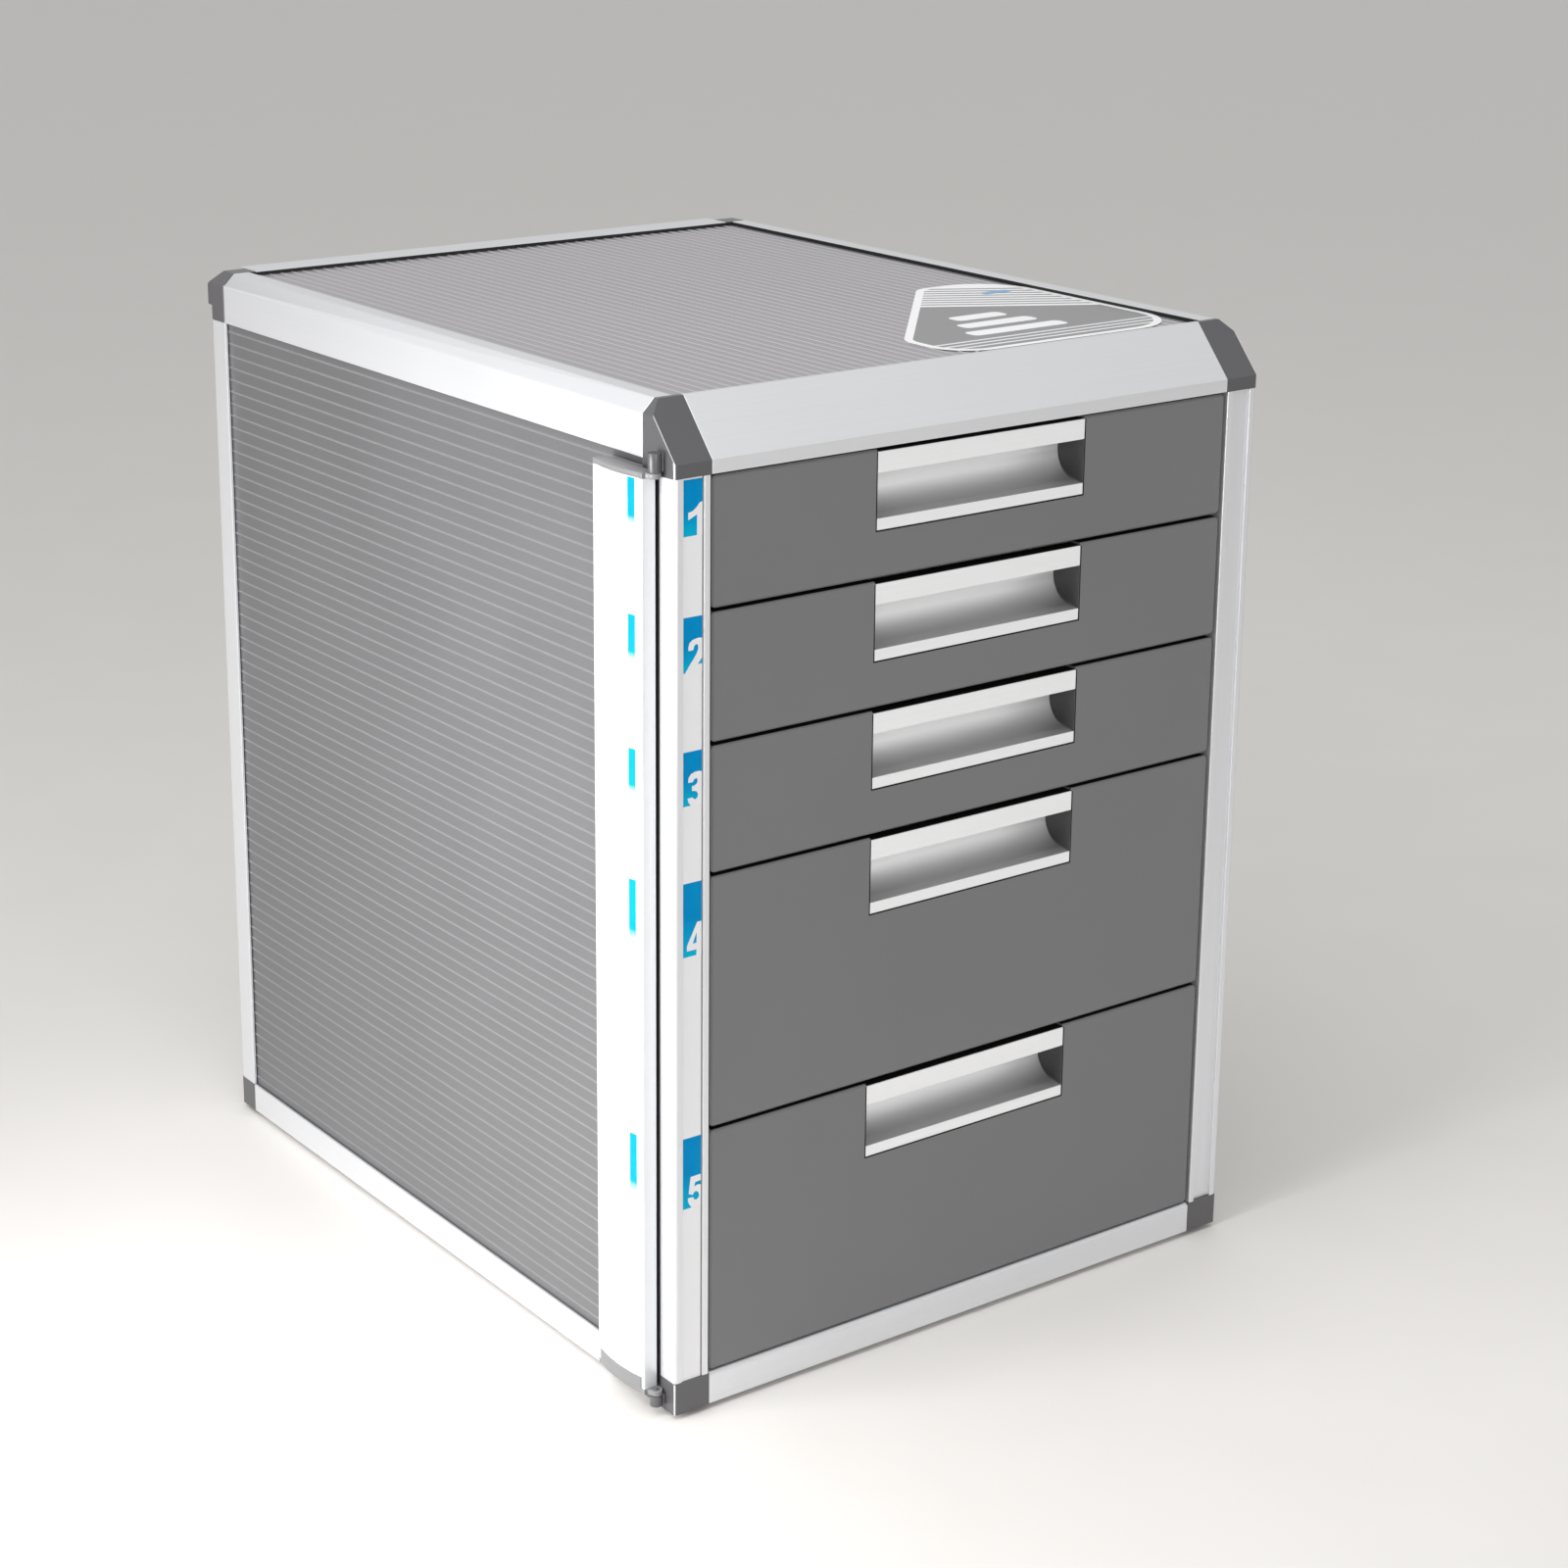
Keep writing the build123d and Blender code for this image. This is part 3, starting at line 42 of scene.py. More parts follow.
# Camera fitted to the photograph. Its place is in metres, in the row frame
CAMERA_PLACE = Vector((-0.79898, -1.12086, 0.65640))
CAMERA_RIGHT = Vector((0.81389, -0.58101, 0.00271))
CAMERA_DOWN = Vector((-0.15671, -0.22401, -0.96191))
CAMERA_LENS = 72.67
CAMERA_SENSOR = 36.0
CAMERA_SHIFT = (0.05, -0.10)
CAMERA_REACH = 50.0

# Lights: name, place, target, size, power in watts and spread in degrees
LIGHTS = (
    ("key_left", (-0.62, -0.10, 0.25), (-0.145, -0.14, 0.20), (0.3, 0.3), 1.9, 115),
    ("edge_glint", (-0.79, -0.265, 1.02), (-0.1, -0.1, 0.35), (0.3, 0.3), 3.6, 180),
    ("overhead", (-0.3, -0.2, 1.7), (0, 0, 0.3), (1.4, 1.4), 7, 180),
    ("front_fill", (-0.5, -1.9, 0.75), (0, 0, 0.2), (1.2, 1.0), 9.5, 180),
)

# World light: a plain ramp from the horizon up, in linear values
WORLD_LOW = (0.86, 0.86, 0.87, 1)
WORLD_HIGH = (1.0, 1.0, 1.0, 1)
WORLD_RAMP = (0.0, 0.8)
WORLD_STRENGTH = 0.65
FLOOR_REACH = 12.0

# Colours, as display values
ALUMINIUM = (0.875, 0.88, 0.89)
# Painted light: a brighter tone at the back of the pull's finger recess
RECESS_PAINTED_LIGHT = (0.975, 0.977, 0.98)
HANDLE_FACE = (0.925, 0.928, 0.932)
# Painted shade: a darker tone low in the pull's finger recess
RECESS_FOOT_SHADE = (0.57, 0.57, 0.575)
LOCK_CHROME = (0.83, 0.83, 0.84)
STEEL_GREY = (0.62, 0.62, 0.63)
SIDE_GREY = (0.465, 0.465, 0.473)
# Painted highlight on the side panels' rib crests
SIDE_CREST_HIGHLIGHT = (0.58, 0.58, 0.588)
TOP_GREY = (0.665, 0.655, 0.668)
# Painted highlight on the top panel's rib crests
TOP_CREST_HIGHLIGHT = (0.745, 0.737, 0.748)
BLOCK_GREY = (0.31, 0.307, 0.317)
# Painted highlight on the corner blocks' arrises
BLOCK_HIGHLIGHT = (0.76, 0.76, 0.77)
FRONT_GREY = (0.425, 0.424, 0.43)
TRAY_GREY = (0.44, 0.44, 0.45)
CAP_GREY = (0.48, 0.48, 0.485)
RUNNER_GREY = (0.32, 0.32, 0.33)
ROD_BLACK = (0.14, 0.14, 0.15)
# Black of the rubber feet, also used for painted shadow in the index bar's gap and the top seam
RUBBER_AND_SHADOW_BLACK = (0.06, 0.06, 0.06)
SHADOW_GREY = (0.07, 0.07, 0.073)
# Painted shade on the end walls of the pull's finger recess
RECESS_SHADOW_GREY = (0.27, 0.268, 0.273)
STRIP_GREY = (0.87, 0.87, 0.875)
CARD_WHITE = (0.97, 0.97, 0.975)
PRINT_BLUE = (0.0, 0.51, 0.73)
PRINT_BLUE_LOW = (0.02, 0.65, 0.78)
TAB_CYAN = (0.02, 0.58, 0.80)
RULED_GREY = (0.66, 0.67, 0.69)
LABEL_WHITE = (0.95, 0.95, 0.955)
LABEL_GREY = (0.50, 0.50, 0.505)
LABEL_LINE = (0.54, 0.54, 0.545)
LABEL_LIGHT = (0.90, 0.90, 0.905)
LABEL_BLUE = (0.42, 0.62, 0.80)
FLOOR_COLOUR = (0.875, 0.864, 0.85)

# Scales of the surfaces' noise, in cycles per metre, and its detail
LINES_ACROSS = 900.0
LINES_ALONG = 6.0
METAL_PATCHES = 9.0
SHEET_PATCHES = 11.0
PLASTIC_PATCHES = 14.0
PRINT_GRAIN = 260.0
SHEET_GRAIN = 1300.0
PLASTIC_GRAIN = 1500.0
FINE_DETAIL = 2.0
SHEET_DETAIL = 3.0
PLASTIC_DETAIL = 4.0

# Depths of the surfaces' grain, and how strongly it shows. Plastics have a depth each
LINE_DEPTH = 0.004 * MM
LINE_STRENGTH = 0.3
SHEET_DEPTH = 0.01 * MM
SHEET_STRENGTH = 0.4
PLASTIC_STRENGTH = 0.6

# How far roughness and tone vary over a surface. Metals and plastics have a tone spread each
METAL_GLOSS_SPREAD = 0.03
PLASTIC_GLOSS_SPREAD = 0.04
SHEET_SPREAD = 0.012
FADED_SPREAD = 0.02

# Roughness, metallic share and specular level of the finishes that have one value
SHEET_ROUGHNESS = 0.36
SHEET_METALLIC = 0.5
CHROME_ROUGHNESS = 0.14
PRINT_ROUGHNESS = 0.30
FADED_SPECULAR = 0.05

# Half the width of the painted highlight line on a rib's crest, and its soft border's end, as
# shares of the ribs' pitch
CREST_LINE = (0.05, 0.12)

# Width of the painted highlight along the arrises of the corner blocks, and of its soft border
ARRIS = 0.55 * MM
SOFTNESS = 0.12 * MM

# The turn of the surface at which those painted highlights begin and end, as shares of its normal
ARRIS_ACROSS = (0.90, 0.97)
ARRIS_ALONG = (0.15, 0.35)

# Depths behind the lock plug's face between which painted shade darkens its keyway
KEYWAY_SHADE = (0.3 * MM, 0.5 * MM)

# Heights on the pull, as shares of its own height: the recess's foot and top, and the part with
# painted shade
RECESS_START = (0.1495, 0.1515)
RECESS_END = (0.720, 0.725)
RECESS_SHADE = (0.15, 0.42)


def linear(colour):
    """A display colour as the linear values that shaders use."""
    values = [c / 12.92 if c <= 0.04045 else ((c + 0.055) / 1.055) ** 2.4 for c in colour]
    return (*values, 1.0)


def toned(colour, spread):
    """A darker and a lighter shade of a colour."""
    dark = tuple(max(c * (1 - spread), 0.0) for c in colour)
    light = tuple(min(c * (1 + spread), 1.0) for c in colour)
    return dark, light


# Helpers for shader nodes. A value that they take is a number or colour, or another node's socket
def shader_of(material):
    return material.node_tree.nodes["Principled BSDF"]


def new_material(name, colour, roughness, metallic=0.0):
    material = bpy.data.materials.new(name)
    material.use_nodes = True
    shader = shader_of(material)
    shader.inputs["Base Color"].default_value = linear(colour)
    shader.inputs["Roughness"].default_value = roughness
    shader.inputs["Metallic"].default_value = metallic
    return material


def fill_input(material, place, value):
    """Link a socket to an input, or set the input to a plain value."""
    if isinstance(value, bpy.types.NodeSocket):
        material.node_tree.links.new(value, place)
    else:
        place.default_value = value


def add_node(material, kind, inputs, settings=()):
    node = material.node_tree.nodes.new("ShaderNode" + kind)
    for name, value in settings:
        setattr(node, name, value)
    for name, value in inputs.items():
        fill_input(material, node.inputs[name], value)
    return node


def add_math(material, operation, *values):
    settings = [("operation", operation)]
    return add_node(material, "Math", dict(enumerate(values)), settings).outputs[0]


def coordinates(material, kind):
    """The piece's own coordinates: Object in metres, Generated as shares of its box, or Normal."""
    return add_node(material, "TexCoord", {}).outputs[kind]


def one_axis(material, kind, axis):
    return add_node(material, "SeparateXYZ", {"Vector": coordinates(material, kind)}).outputs[axis]


def add_noise(material, scale, detail=FINE_DETAIL):
    """Noise over the piece, at one scale or at a scale for each axis."""
    scales = scale if isinstance(scale, list) else [scale] * 3
    place = coordinates(material, "Object")
    mapping = add_node(material, "Mapping", {"Vector": place, "Scale": scales})
    noise = add_node(material, "TexNoise", {"Vector": mapping.outputs["Vector"], "Scale": 1.0,
                                            "Detail": detail})
    return noise.outputs["Fac"]


def add_range(material, source, low, high, start=0.3, end=0.7):
    """Map a value between two limits, by default those that noise mostly keeps, onto a range."""
    node = add_node(material, "MapRange", {"Value": source, "From Min": start, "From Max": end,
                                           "To Min": low, "To Max": high})
    return node.outputs["Result"]


def add_mix(material, factor, first, second):
    """Blend of two colours, each a display colour or a socket."""
    node = material.node_tree.nodes.new("ShaderNodeMix")
    node.data_type = "RGBA"
    fill_input(material, node.inputs[0], factor)
    for place, colour in ((6, first), (7, second)):
        plain = not isinstance(colour, bpy.types.NodeSocket)
        fill_input(material, node.inputs[place], linear(colour) if plain else colour)
    return node.outputs[2]


def set_input(material, name, source):
    material.node_tree.links.new(source, shader_of(material).inputs[name])


def shaded(material, noise, colour, spread):
    """A colour that runs between a darker and a lighter shade with a noise."""
    return add_mix(material, add_range(material, noise, 0.0, 1.0), *toned(colour, spread))


def vary_gloss(material, noise, roughness, spread):
    set_input(material, "Roughness",
              add_range(material, noise, roughness - spread, roughness + spread))


def paint_over(material, share, colour):
    """Blend a colour over the base colour that a material has."""
    base = shader_of(material).inputs["Base Color"].links[0].from_socket
    set_input(material, "Base Color", add_mix(material, share, base, colour))


def add_bump(material, source, depth, strength):
    bump = add_node(material, "Bump", {"Height": source, "Distance": depth, "Strength": strength})
    set_input(material, "Normal", bump.outputs["Normal"])


# Materials. Each has its own small variation in tone, gloss and surface
def anodised(name, colour, axis, roughness=0.38, metallic=0.6, spread=0.004):
    """Satin anodised aluminium: an even tone, with very fine drawn lines along one axis."""
    material = new_material(name, colour, roughness, metallic)
    scales = [LINES_ACROSS] * 3
    scales["XYZ".index(axis)] = LINES_ALONG
    lines = add_noise(material, scales)
    vary_gloss(material, add_noise(material, METAL_PATCHES), roughness, METAL_GLOSS_SPREAD)
    set_input(material, "Base Color", shaded(material, lines, colour, spread))
    add_bump(material, lines, LINE_DEPTH, LINE_STRENGTH)
    return material


def pull_metal_painted(name, colour, recess_light, foot):
    """The pull's metal, with painted light at the back of the finger recess and painted shade low
    in it.
    """
    material = anodised(name, colour, "X", metallic=0.3)
    height = one_axis(material, "Generated", "Z")
    above = add_range(material, height, 0.0, 1.0, *RECESS_START)
    below = add_range(material, height, 1.0, 0.0, *RECESS_END)
    inside = add_math(material, "MULTIPLY", above, below)
    shade = add_range(material, height, 1.0, 0.0, *RECESS_SHADE)
    # Painted light over the recess, running into painted shade towards its foot
    paint_over(material, inside, add_mix(material, shade, recess_light, foot))
    return material


def chrome(name):
    return anodised(name, LOCK_CHROME, "X", CHROME_ROUGHNESS, metallic=1.0)


def plug_metal_shaded(name):
    """Polished metal with painted shade inside the keyway, behind the plug's face."""
    material = chrome(name)
    face = max(vertex.co.x for vertex in NODES["lock_plug"].data.vertices)
    start, end = KEYWAY_SHADE
    place = one_axis(material, "Object", "X")
    deep = add_range(material, place, 1.0, 0.0, face - end, face - start)
    # Painted shade deep in the keyway
    paint_over(material, deep, SHADOW_GREY)
    return material


def crest_places(name):
    """Where a panel's rib crests are, along the axis across them."""
    low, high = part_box(name)
    near = 0.05 * MM
    points = [vertex.co for vertex in NODES[name].data.vertices]
    if name == "top_panel":
        crests = [point.x for point in points if point.z > high[2] - near]
    elif name == "left_panel":
        crests = [point.z for point in points if point.x < low[0] + near]
    else:
        crests = [point.z for point in points if point.x > high[0] - near]
    return sorted({round(place, 5) for place in crests})


def ribbed(name, colour, crest_highlight, axis, node):
    """Sheet with a painted highlight on its rib crests, at the places of the modelled ribs."""
    places = crest_places(node)
    pitch = (places[-1] - places[0]) / (len(places) - 1)
    material = new_material(name, colour, SHEET_ROUGHNESS, SHEET_METALLIC)
    along = one_axis(material, "Object", axis)
    steps = add_math(material, "SUBTRACT", along, places[0] - pitch / 2)
    phase = add_math(material, "FRACT", add_math(material, "DIVIDE", steps, pitch))
    away = add_math(material, "ABSOLUTE", add_math(material, "SUBTRACT", phase, 0.5))
    patches = add_noise(material, SHEET_PATCHES, SHEET_DETAIL)
    set_input(material, "Base Color", shaded(material, patches, colour, SHEET_SPREAD))
    # Painted highlight along each rib crest
    paint_over(material, add_range(material, away, 1.0, 0.0, *CREST_LINE), crest_highlight)
    vary_gloss(material, patches, SHEET_ROUGHNESS, METAL_GLOSS_SPREAD)
    add_bump(material, add_noise(material, SHEET_GRAIN), SHEET_DEPTH, SHEET_STRENGTH)
    return material


def moulded(name, colour, roughness=0.42, grain=0.03, spread=0.015, gloss=0.5):
    """Moulded or painted surface with a fine grain, in mm, and slightly uneven gloss."""
    material = new_material(name, colour, roughness)
    shader_of(material).inputs["Specular IOR Level"].default_value = gloss
    patches = add_noise(material, PLASTIC_PATCHES, PLASTIC_DETAIL)
    vary_gloss(material, patches, roughness, PLASTIC_GLOSS_SPREAD)
    set_input(material, "Base Color", shaded(material, patches, colour, spread))
    if grain:
        add_bump(material, add_noise(material, PLASTIC_GRAIN), grain * MM, PLASTIC_STRENGTH)
    return material


def printed(name, colour, spread=0.01):
    """Smooth print, film or card."""
    return moulded(name, colour, PRINT_ROUGHNESS, grain=0.0, spread=spread)


def block_arris_highlight(name, colour, edge):
    """Satin grey plastic, with a painted highlight on the arrises beside the box's left and right
    faces.
    """
    material = moulded(name, colour, 0.30, gloss=0.7)
    left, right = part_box("left_front_post")[0][0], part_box("right_front_post")[1][0]
    across = add_math(material, "ABSOLUTE", one_axis(material, "Normal", "X"))
    along = add_math(material, "ABSOLUTE", one_axis(material, "Normal", "Y"))
    place = one_axis(material, "Object", "X")
    beside_left = add_range(material, place, 1.0, 0.0, left + ARRIS - SOFTNESS, left + ARRIS)
    beside_right = add_range(material, place, 0.0, 1.0, right - ARRIS, right - ARRIS + SOFTNESS)
    share = add_math(material, "MAXIMUM", beside_left, beside_right)
    on_box = add_range(material, place, 0.0, 1.0, left - 2 * SOFTNESS, left - SOFTNESS)
    for other in (add_range(material, across, 1.0, 0.0, *ARRIS_ACROSS),
                  add_range(material, along, 0.0, 1.0, *ARRIS_ALONG), on_box):
        share = add_math(material, "MULTIPLY", share, other)
    # Painted highlight along the arrises
    paint_over(material, share, edge)
    return material


def faded(name, high, low, start, end):
    """A print that runs from one colour at its top to another at its foot."""
    material = new_material(name, high, PRINT_ROUGHNESS)
    shader_of(material).inputs["Specular IOR Level"].default_value = FADED_SPECULAR
    share = add_range(material, one_axis(material, "Generated", "Z"), 0.0, 1.0, start, end)
    top = shaded(material, add_noise(material, PRINT_GRAIN), high, FADED_SPREAD)
    set_input(material, "Base Color", add_mix(material, share, low, top))
    return material


def make_materials():
    return {
        "metal_x": anodised("anodised_along_x", ALUMINIUM, "X"),
        "metal_y": anodised("anodised_along_y", ALUMINIUM, "Y"),
        "metal_z": anodised("anodised_along_z", ALUMINIUM, "Z"),
        "handle": pull_metal_painted("anodised_handle", HANDLE_FACE, RECESS_PAINTED_LIGHT, RECESS_FOOT_SHADE),
        "side_panel": ribbed("panel_side", SIDE_GREY, SIDE_CREST_HIGHLIGHT, "Z", "left_panel"),
        "right_panel": ribbed("panel_right", SIDE_GREY, SIDE_CREST_HIGHLIGHT, "Z", "right_panel"),
        "top_panel": ribbed("panel_top", TOP_GREY, TOP_CREST_HIGHLIGHT, "X", "top_panel"),
        "plain_panel": moulded("panel_plain", SIDE_GREY, grain=0.01),
        "block": block_arris_highlight("corner_block", BLOCK_GREY, BLOCK_HIGHLIGHT),
        "front": moulded("drawer_front", FRONT_GREY, grain=0.015, spread=0.008),
        "tray": moulded("drawer_tray", TRAY_GREY, 0.45),
        "runner": moulded("runner", RUNNER_GREY, 0.5),
        "cap": moulded("index_cap", CAP_GREY, 0.35),
        "strip": moulded("number_strip", STRIP_GREY, 0.34, grain=0.0, spread=0.006),
        "card": printed("index_card", CARD_WHITE, 0.005),
        # Rubber for the feet, and painted shadow in the index bar's gap and the top seam
        "rubber": moulded("rubber", RUBBER_AND_SHADOW_BLACK, 0.7),
        "rod": moulded("rod", ROD_BLACK, 0.45),
        # Painted shadow in the gaps over the fronts and round the pulls
        "shadow": moulded("painted_shadow", SHADOW_GREY, 0.6, grain=0.0, gloss=0.2),
        # Painted shade on the recess's end walls
        "recess_shadow": moulded("recess_end_shadow", RECESS_SHADOW_GREY, 0.5, gloss=0.3),
        "chrome": chrome("lock_chrome"),
        "plug": plug_metal_shaded("lock_plug_chrome"),
        "steel": anodised("steel", STEEL_GREY, "Z", roughness=0.33, metallic=0.9, spread=0.03),
        "number_blue": faded("number_blue", PRINT_BLUE, PRINT_BLUE_LOW, 0.0, 0.5),
        "tab_cyan": faded("tab_cyan", TAB_CYAN, CARD_WHITE, 0.02, 0.32),
        "ruled": moulded("ruled_line", RULED_GREY, 0.5, grain=0.0),
        "label_white": printed("label_white", LABEL_WHITE, 0.006),
        "label_grey": printed("label_grey", LABEL_GREY),
        "label_line": printed("label_line", LABEL_LINE),
        "label_light": printed("label_light", LABEL_LIGHT),
        "label_blue": printed("label_blue", LABEL_BLUE, 0.02),
    }


def node_material(name):
    """The material key of a CAD node."""
    keys = {"top_panel": "top_panel", "bottom_panel": "plain_panel", "rear_panel": "plain_panel",
            "left_panel": "side_panel", "right_panel": "right_panel", "feet": "rubber",
            "number_strip": "strip", "lock_barrel": "chrome", "lock_plug": "plug",
            "lock_nut": "steel", "lock_cam": "steel", "hinge_pins": "steel", "locking_rod": "rod",
            "rod_fingers": "rod", "index_bar": "metal_z", "index_card": "card",
            "index_top_cap": "cap", "index_bottom_cap": "cap"}
    if name in keys:
        return keys[name]
    if name.startswith("corner_"):
        return "block"
    if name.endswith("_post"):
        return "metal_z"
    if name.endswith("_rail"):
        return "metal_y" if name.startswith(("left", "right")) else "metal_x"
    if name.endswith(("_runner_wall", "_runners")):
        return "runner"
    # A drawer's tray, front or handle
    return name.rsplit("_", 1)[1]


# Widths of the small rounded edges, by material key
BEVELS = {"block": 0.7 * MM, "front": 0.5 * MM, "handle": 0.3 * MM, "cap": 0.3 * MM,
          "metal_x": 0.35 * MM, "metal_y": 0.35 * MM, "metal_z": 0.3 * MM, "tray": 0.3 * MM,
          "rubber": 0.4 * MM, "chrome": 0.2 * MM, "plug": 0.2 * MM, "steel": 0.2 * MM}
WELD_DISTANCE = 0.002 * MM
SHARP_ANGLE = 30


def soften(obj, width):
    """Small rounded edges, which catch the light as real ones do."""
    weld = obj.modifiers.new("weld", "WELD")
    weld.merge_threshold = WELD_DISTANCE
    bevel = obj.modifiers.new("edges", "BEVEL")
    bevel.width = width
    bevel.segments = 2
    bevel.limit_method = "ANGLE"
    bevel.angle_limit = math.radians(SHARP_ANGLE)
    bevel.use_clamp_overlap = True
    bevel.harden_normals = False


def dress_nodes(materials):
    for name, obj in NODES.items():
        key = node_material(name)
        obj.data.materials.clear()
        obj.data.materials.append(materials[key])
        if key in BEVELS:
            soften(obj, BEVELS[key])


# Helpers for the trims, the dark pieces of painted shadow and the prints, which only this script
# makes
def rectangle(first_low, first_high, second_low, second_high):
    return [(first_low, second_low), (first_high, second_low), (first_high, second_high),
            (first_low, second_high)]


def mesh_object(name, points, faces, material, body):
    mesh = bpy.data.meshes.new(name)
    mesh.from_pydata(points, [], faces)
    mesh.update()
    obj = bpy.data.objects.new(name, mesh)
    bpy.context.scene.collection.objects.link(obj)
    obj.data.materials.append(material)
    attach(obj, body)


def prism(name, outlines, place, material, body="cabinet"):
    """Thin plates from flat outlines, each with its own lower and upper level."""
    points, faces = [], []
    for outline, low, high in outlines:
        start, count = len(points), len(outline)
        points += [place(a, b, low) for a, b in outline] + [place(a, b, high) for a, b in outline]
        faces.append(tuple(range(start + count - 1, start - 1, -1)))
        faces.append(tuple(range(start + count, start + 2 * count)))
        for step in range(count):
            after = (step + 1) % count
            faces.append((start + step, start + after, start + count + after,
                          start + count + step))
    mesh_object(name, points, faces, material, body)


# Prints beside the drawers: number blocks on the strip in the left post, and tabs on the card.
# The tall drawers have taller ones
PRINT_LIFT = 0.04 * MM
BLOCK_MARGIN = 0.55 * MM
STRIP_EDGE = 0.35 * MM
SMALL_BLOCK = 21.7 * MM
TALL_BLOCK = 30.3 * MM
TALL_FRONT = 80 * MM

# Plain numbers, left light on the blue blocks. A point goes across as a share of the block's
# width, and up in mm from its foot
DIGITS = {
    1: [(0.24, 6.2), (0.69, 8.0), (0.69, -0.1), (1.0, -0.1), (1.0, 12.8), (0.82, 12.4),
        (0.66, 10.7), (0.46, 9.5), (0.24, 9.0)],
    2: [(0.26, 8.6), (0.50, 8.6), (0.56, 10.2), (0.66, 10.8), (0.75, 10.4), (0.77, 8.9),
        (0.69, 7.2), (0.51, 4.9), (0.31, 2.8), (0.16, 0.9), (0.07, -0.1), (1.0, -0.1), (1.0, 2.8),
        (0.73, 2.8), (1.0, 5.5), (1.0, 12.8), (0.82, 13.1), (0.65, 13.0), (0.46, 12.6),
        (0.31, 11.6), (0.25, 9.9)],
    3: [(0.25, 9.4), (0.49, 9.3), (0.56, 10.3), (0.65, 10.7), (0.73, 10.3), (0.75, 9.2),
        (0.69, 8.3), (0.57, 7.8), (0.45, 7.8), (0.45, 5.8), (0.58, 5.7), (0.70, 5.2), (0.77, 4.1),
        (0.75, 2.9), (0.66, 2.2), (0.55, 2.4), (0.48, 3.2), (0.22, 3.1), (0.27, 1.4), (0.40, -0.1),
        (1.0, -0.1), (1.0, 12.9), (0.82, 13.3), (0.62, 13.3), (0.40, 12.7), (0.27, 11.3)],
    4: [(0.20, 2.4), (0.70, 2.4), (0.70, -0.1), (1.0, -0.1), (1.0, 13.7), (0.74, 13.7),
        (0.20, 4.6)],
    5: [(0.31, 6.2), (0.53, 5.3), (0.58, 6.2), (0.69, 6.6), (0.81, 6.1), (0.88, 4.8), (0.85, 3.5),
        (0.73, 2.8), (0.61, 3.2), (0.55, 4.3), (0.27, 4.5), (0.27, 3.0), (0.35, 1.5), (0.48, -0.1),
        (1.0, -0.1), (1.0, 8.8), (0.80, 9.2), (0.60, 8.7), (0.66, 10.6), (1.0, 10.7), (1.0, 13.5),
        (0.41, 13.3)],
}
COUNTER_OF_4 = [(0.50, 5.1), (0.70, 5.1), (0.70, 9.3)]


def block_height(number):
    low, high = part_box(f"drawer_{number}_front")
    return TALL_BLOCK if high[2] - low[2] > TALL_FRONT else SMALL_BLOCK


def number_blocks(materials):
    strip_low, strip_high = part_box("number_strip")
    left, right, face = strip_low[0] + BLOCK_MARGIN, strip_high[0], strip_low[1]

    def on_strip(across, up, lift):
        return (across, face - lift, up)

    def add_print(name, outline, layers, key):
        prism(name, [(outline, 0.0, layers * PRINT_LIFT)], on_strip, materials[key])

    for number in DRAWERS:
        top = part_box(f"drawer_{number}_front")[1][2]
        foot = top - block_height(number)

        def spread(outline):
            return [(left + across * (right - left), foot + up * MM) for across, up in outline]

        add_print(f"number_block_{number}", rectangle(left, right, foot, top), 1, "number_blue")
        add_print(f"number_{number}", spread(DIGITS[number]), 2, "strip")
        if number == 4:
            add_print("number_4_counter", spread(COUNTER_OF_4), 3, "number_blue")
    edge = rectangle(right - STRIP_EDGE, right, strip_low[2], strip_high[2])
    add_print("number_strip_edge", edge, 3, "cap")


# Painted shadow in the gap behind the index bar: a dark strip on the post that the bar closes
# against, in mm
BAR_SHADOW_START = -177.6
BAR_SHADOW_END = -172.0
BAR_SHADOW_THICKNESS = 0.25
BAR_SHADOW_INSET = 0.5


def bar_gap_shadow(materials):
    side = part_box("left_front_post")[0][0]
    bar_low, bar_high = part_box("index_bar")

    def on_post(y, z, lift):
        return (side - lift, y, z)

    outline = rectangle(BAR_SHADOW_END * MM, BAR_SHADOW_START * MM, bar_low[2] + BAR_SHADOW_INSET * MM,
                        bar_high[2] - BAR_SHADOW_INSET * MM)
    prism("bar_gap_shadow", [(outline, 0.0, BAR_SHADOW_THICKNESS * MM)], on_post, materials["rubber"])


# Painted shadow in the gaps over the drawer fronts and pulls: dark strips on their tops, in mm.
# They start and end behind the face
GAP_SHADOW_START = 1.3
PULL_GAP_SHADOW_START = 0.6
GAP_SHADOW_END = 7.0
GAP_SHADOW_THICKNESS = 0.15
GAP_SHADOW_INSET = 1.2
GAP_SHADOW_SPACE = 0.3


def front_gap_shadows(materials, number):
    front_low, front_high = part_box(f"drawer_{number}_front")
    pull_low, pull_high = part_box(f"drawer_{number}_handle")
    face = front_low[1]

    def in_place(x, y, z):
        return (x, y, z)

    def strip(x_low, x_high, start, z):
        outline = rectangle(x_low, x_high, face + start * MM, face + GAP_SHADOW_END * MM)
        return (outline, z, z + GAP_SHADOW_THICKNESS * MM)

    inset, space = GAP_SHADOW_INSET * MM, GAP_SHADOW_SPACE * MM
    strips = [strip(front_low[0] + inset, pull_low[0] - space, GAP_SHADOW_START, front_high[2]),
              strip(pull_high[0] + space, front_high[0] - inset, GAP_SHADOW_START, front_high[2]),
              strip(pull_low[0], pull_high[0], PULL_GAP_SHADOW_START, pull_high[2])]
    prism(f"front_gap_shadow_{number}", strips, in_place, materials["shadow"],
          f"drawer_{number}")


# Painted shadow in the fine joint round each pull, in mm
JOINT_WIDTH = 0.55
JOINT_LIFT = 0.03


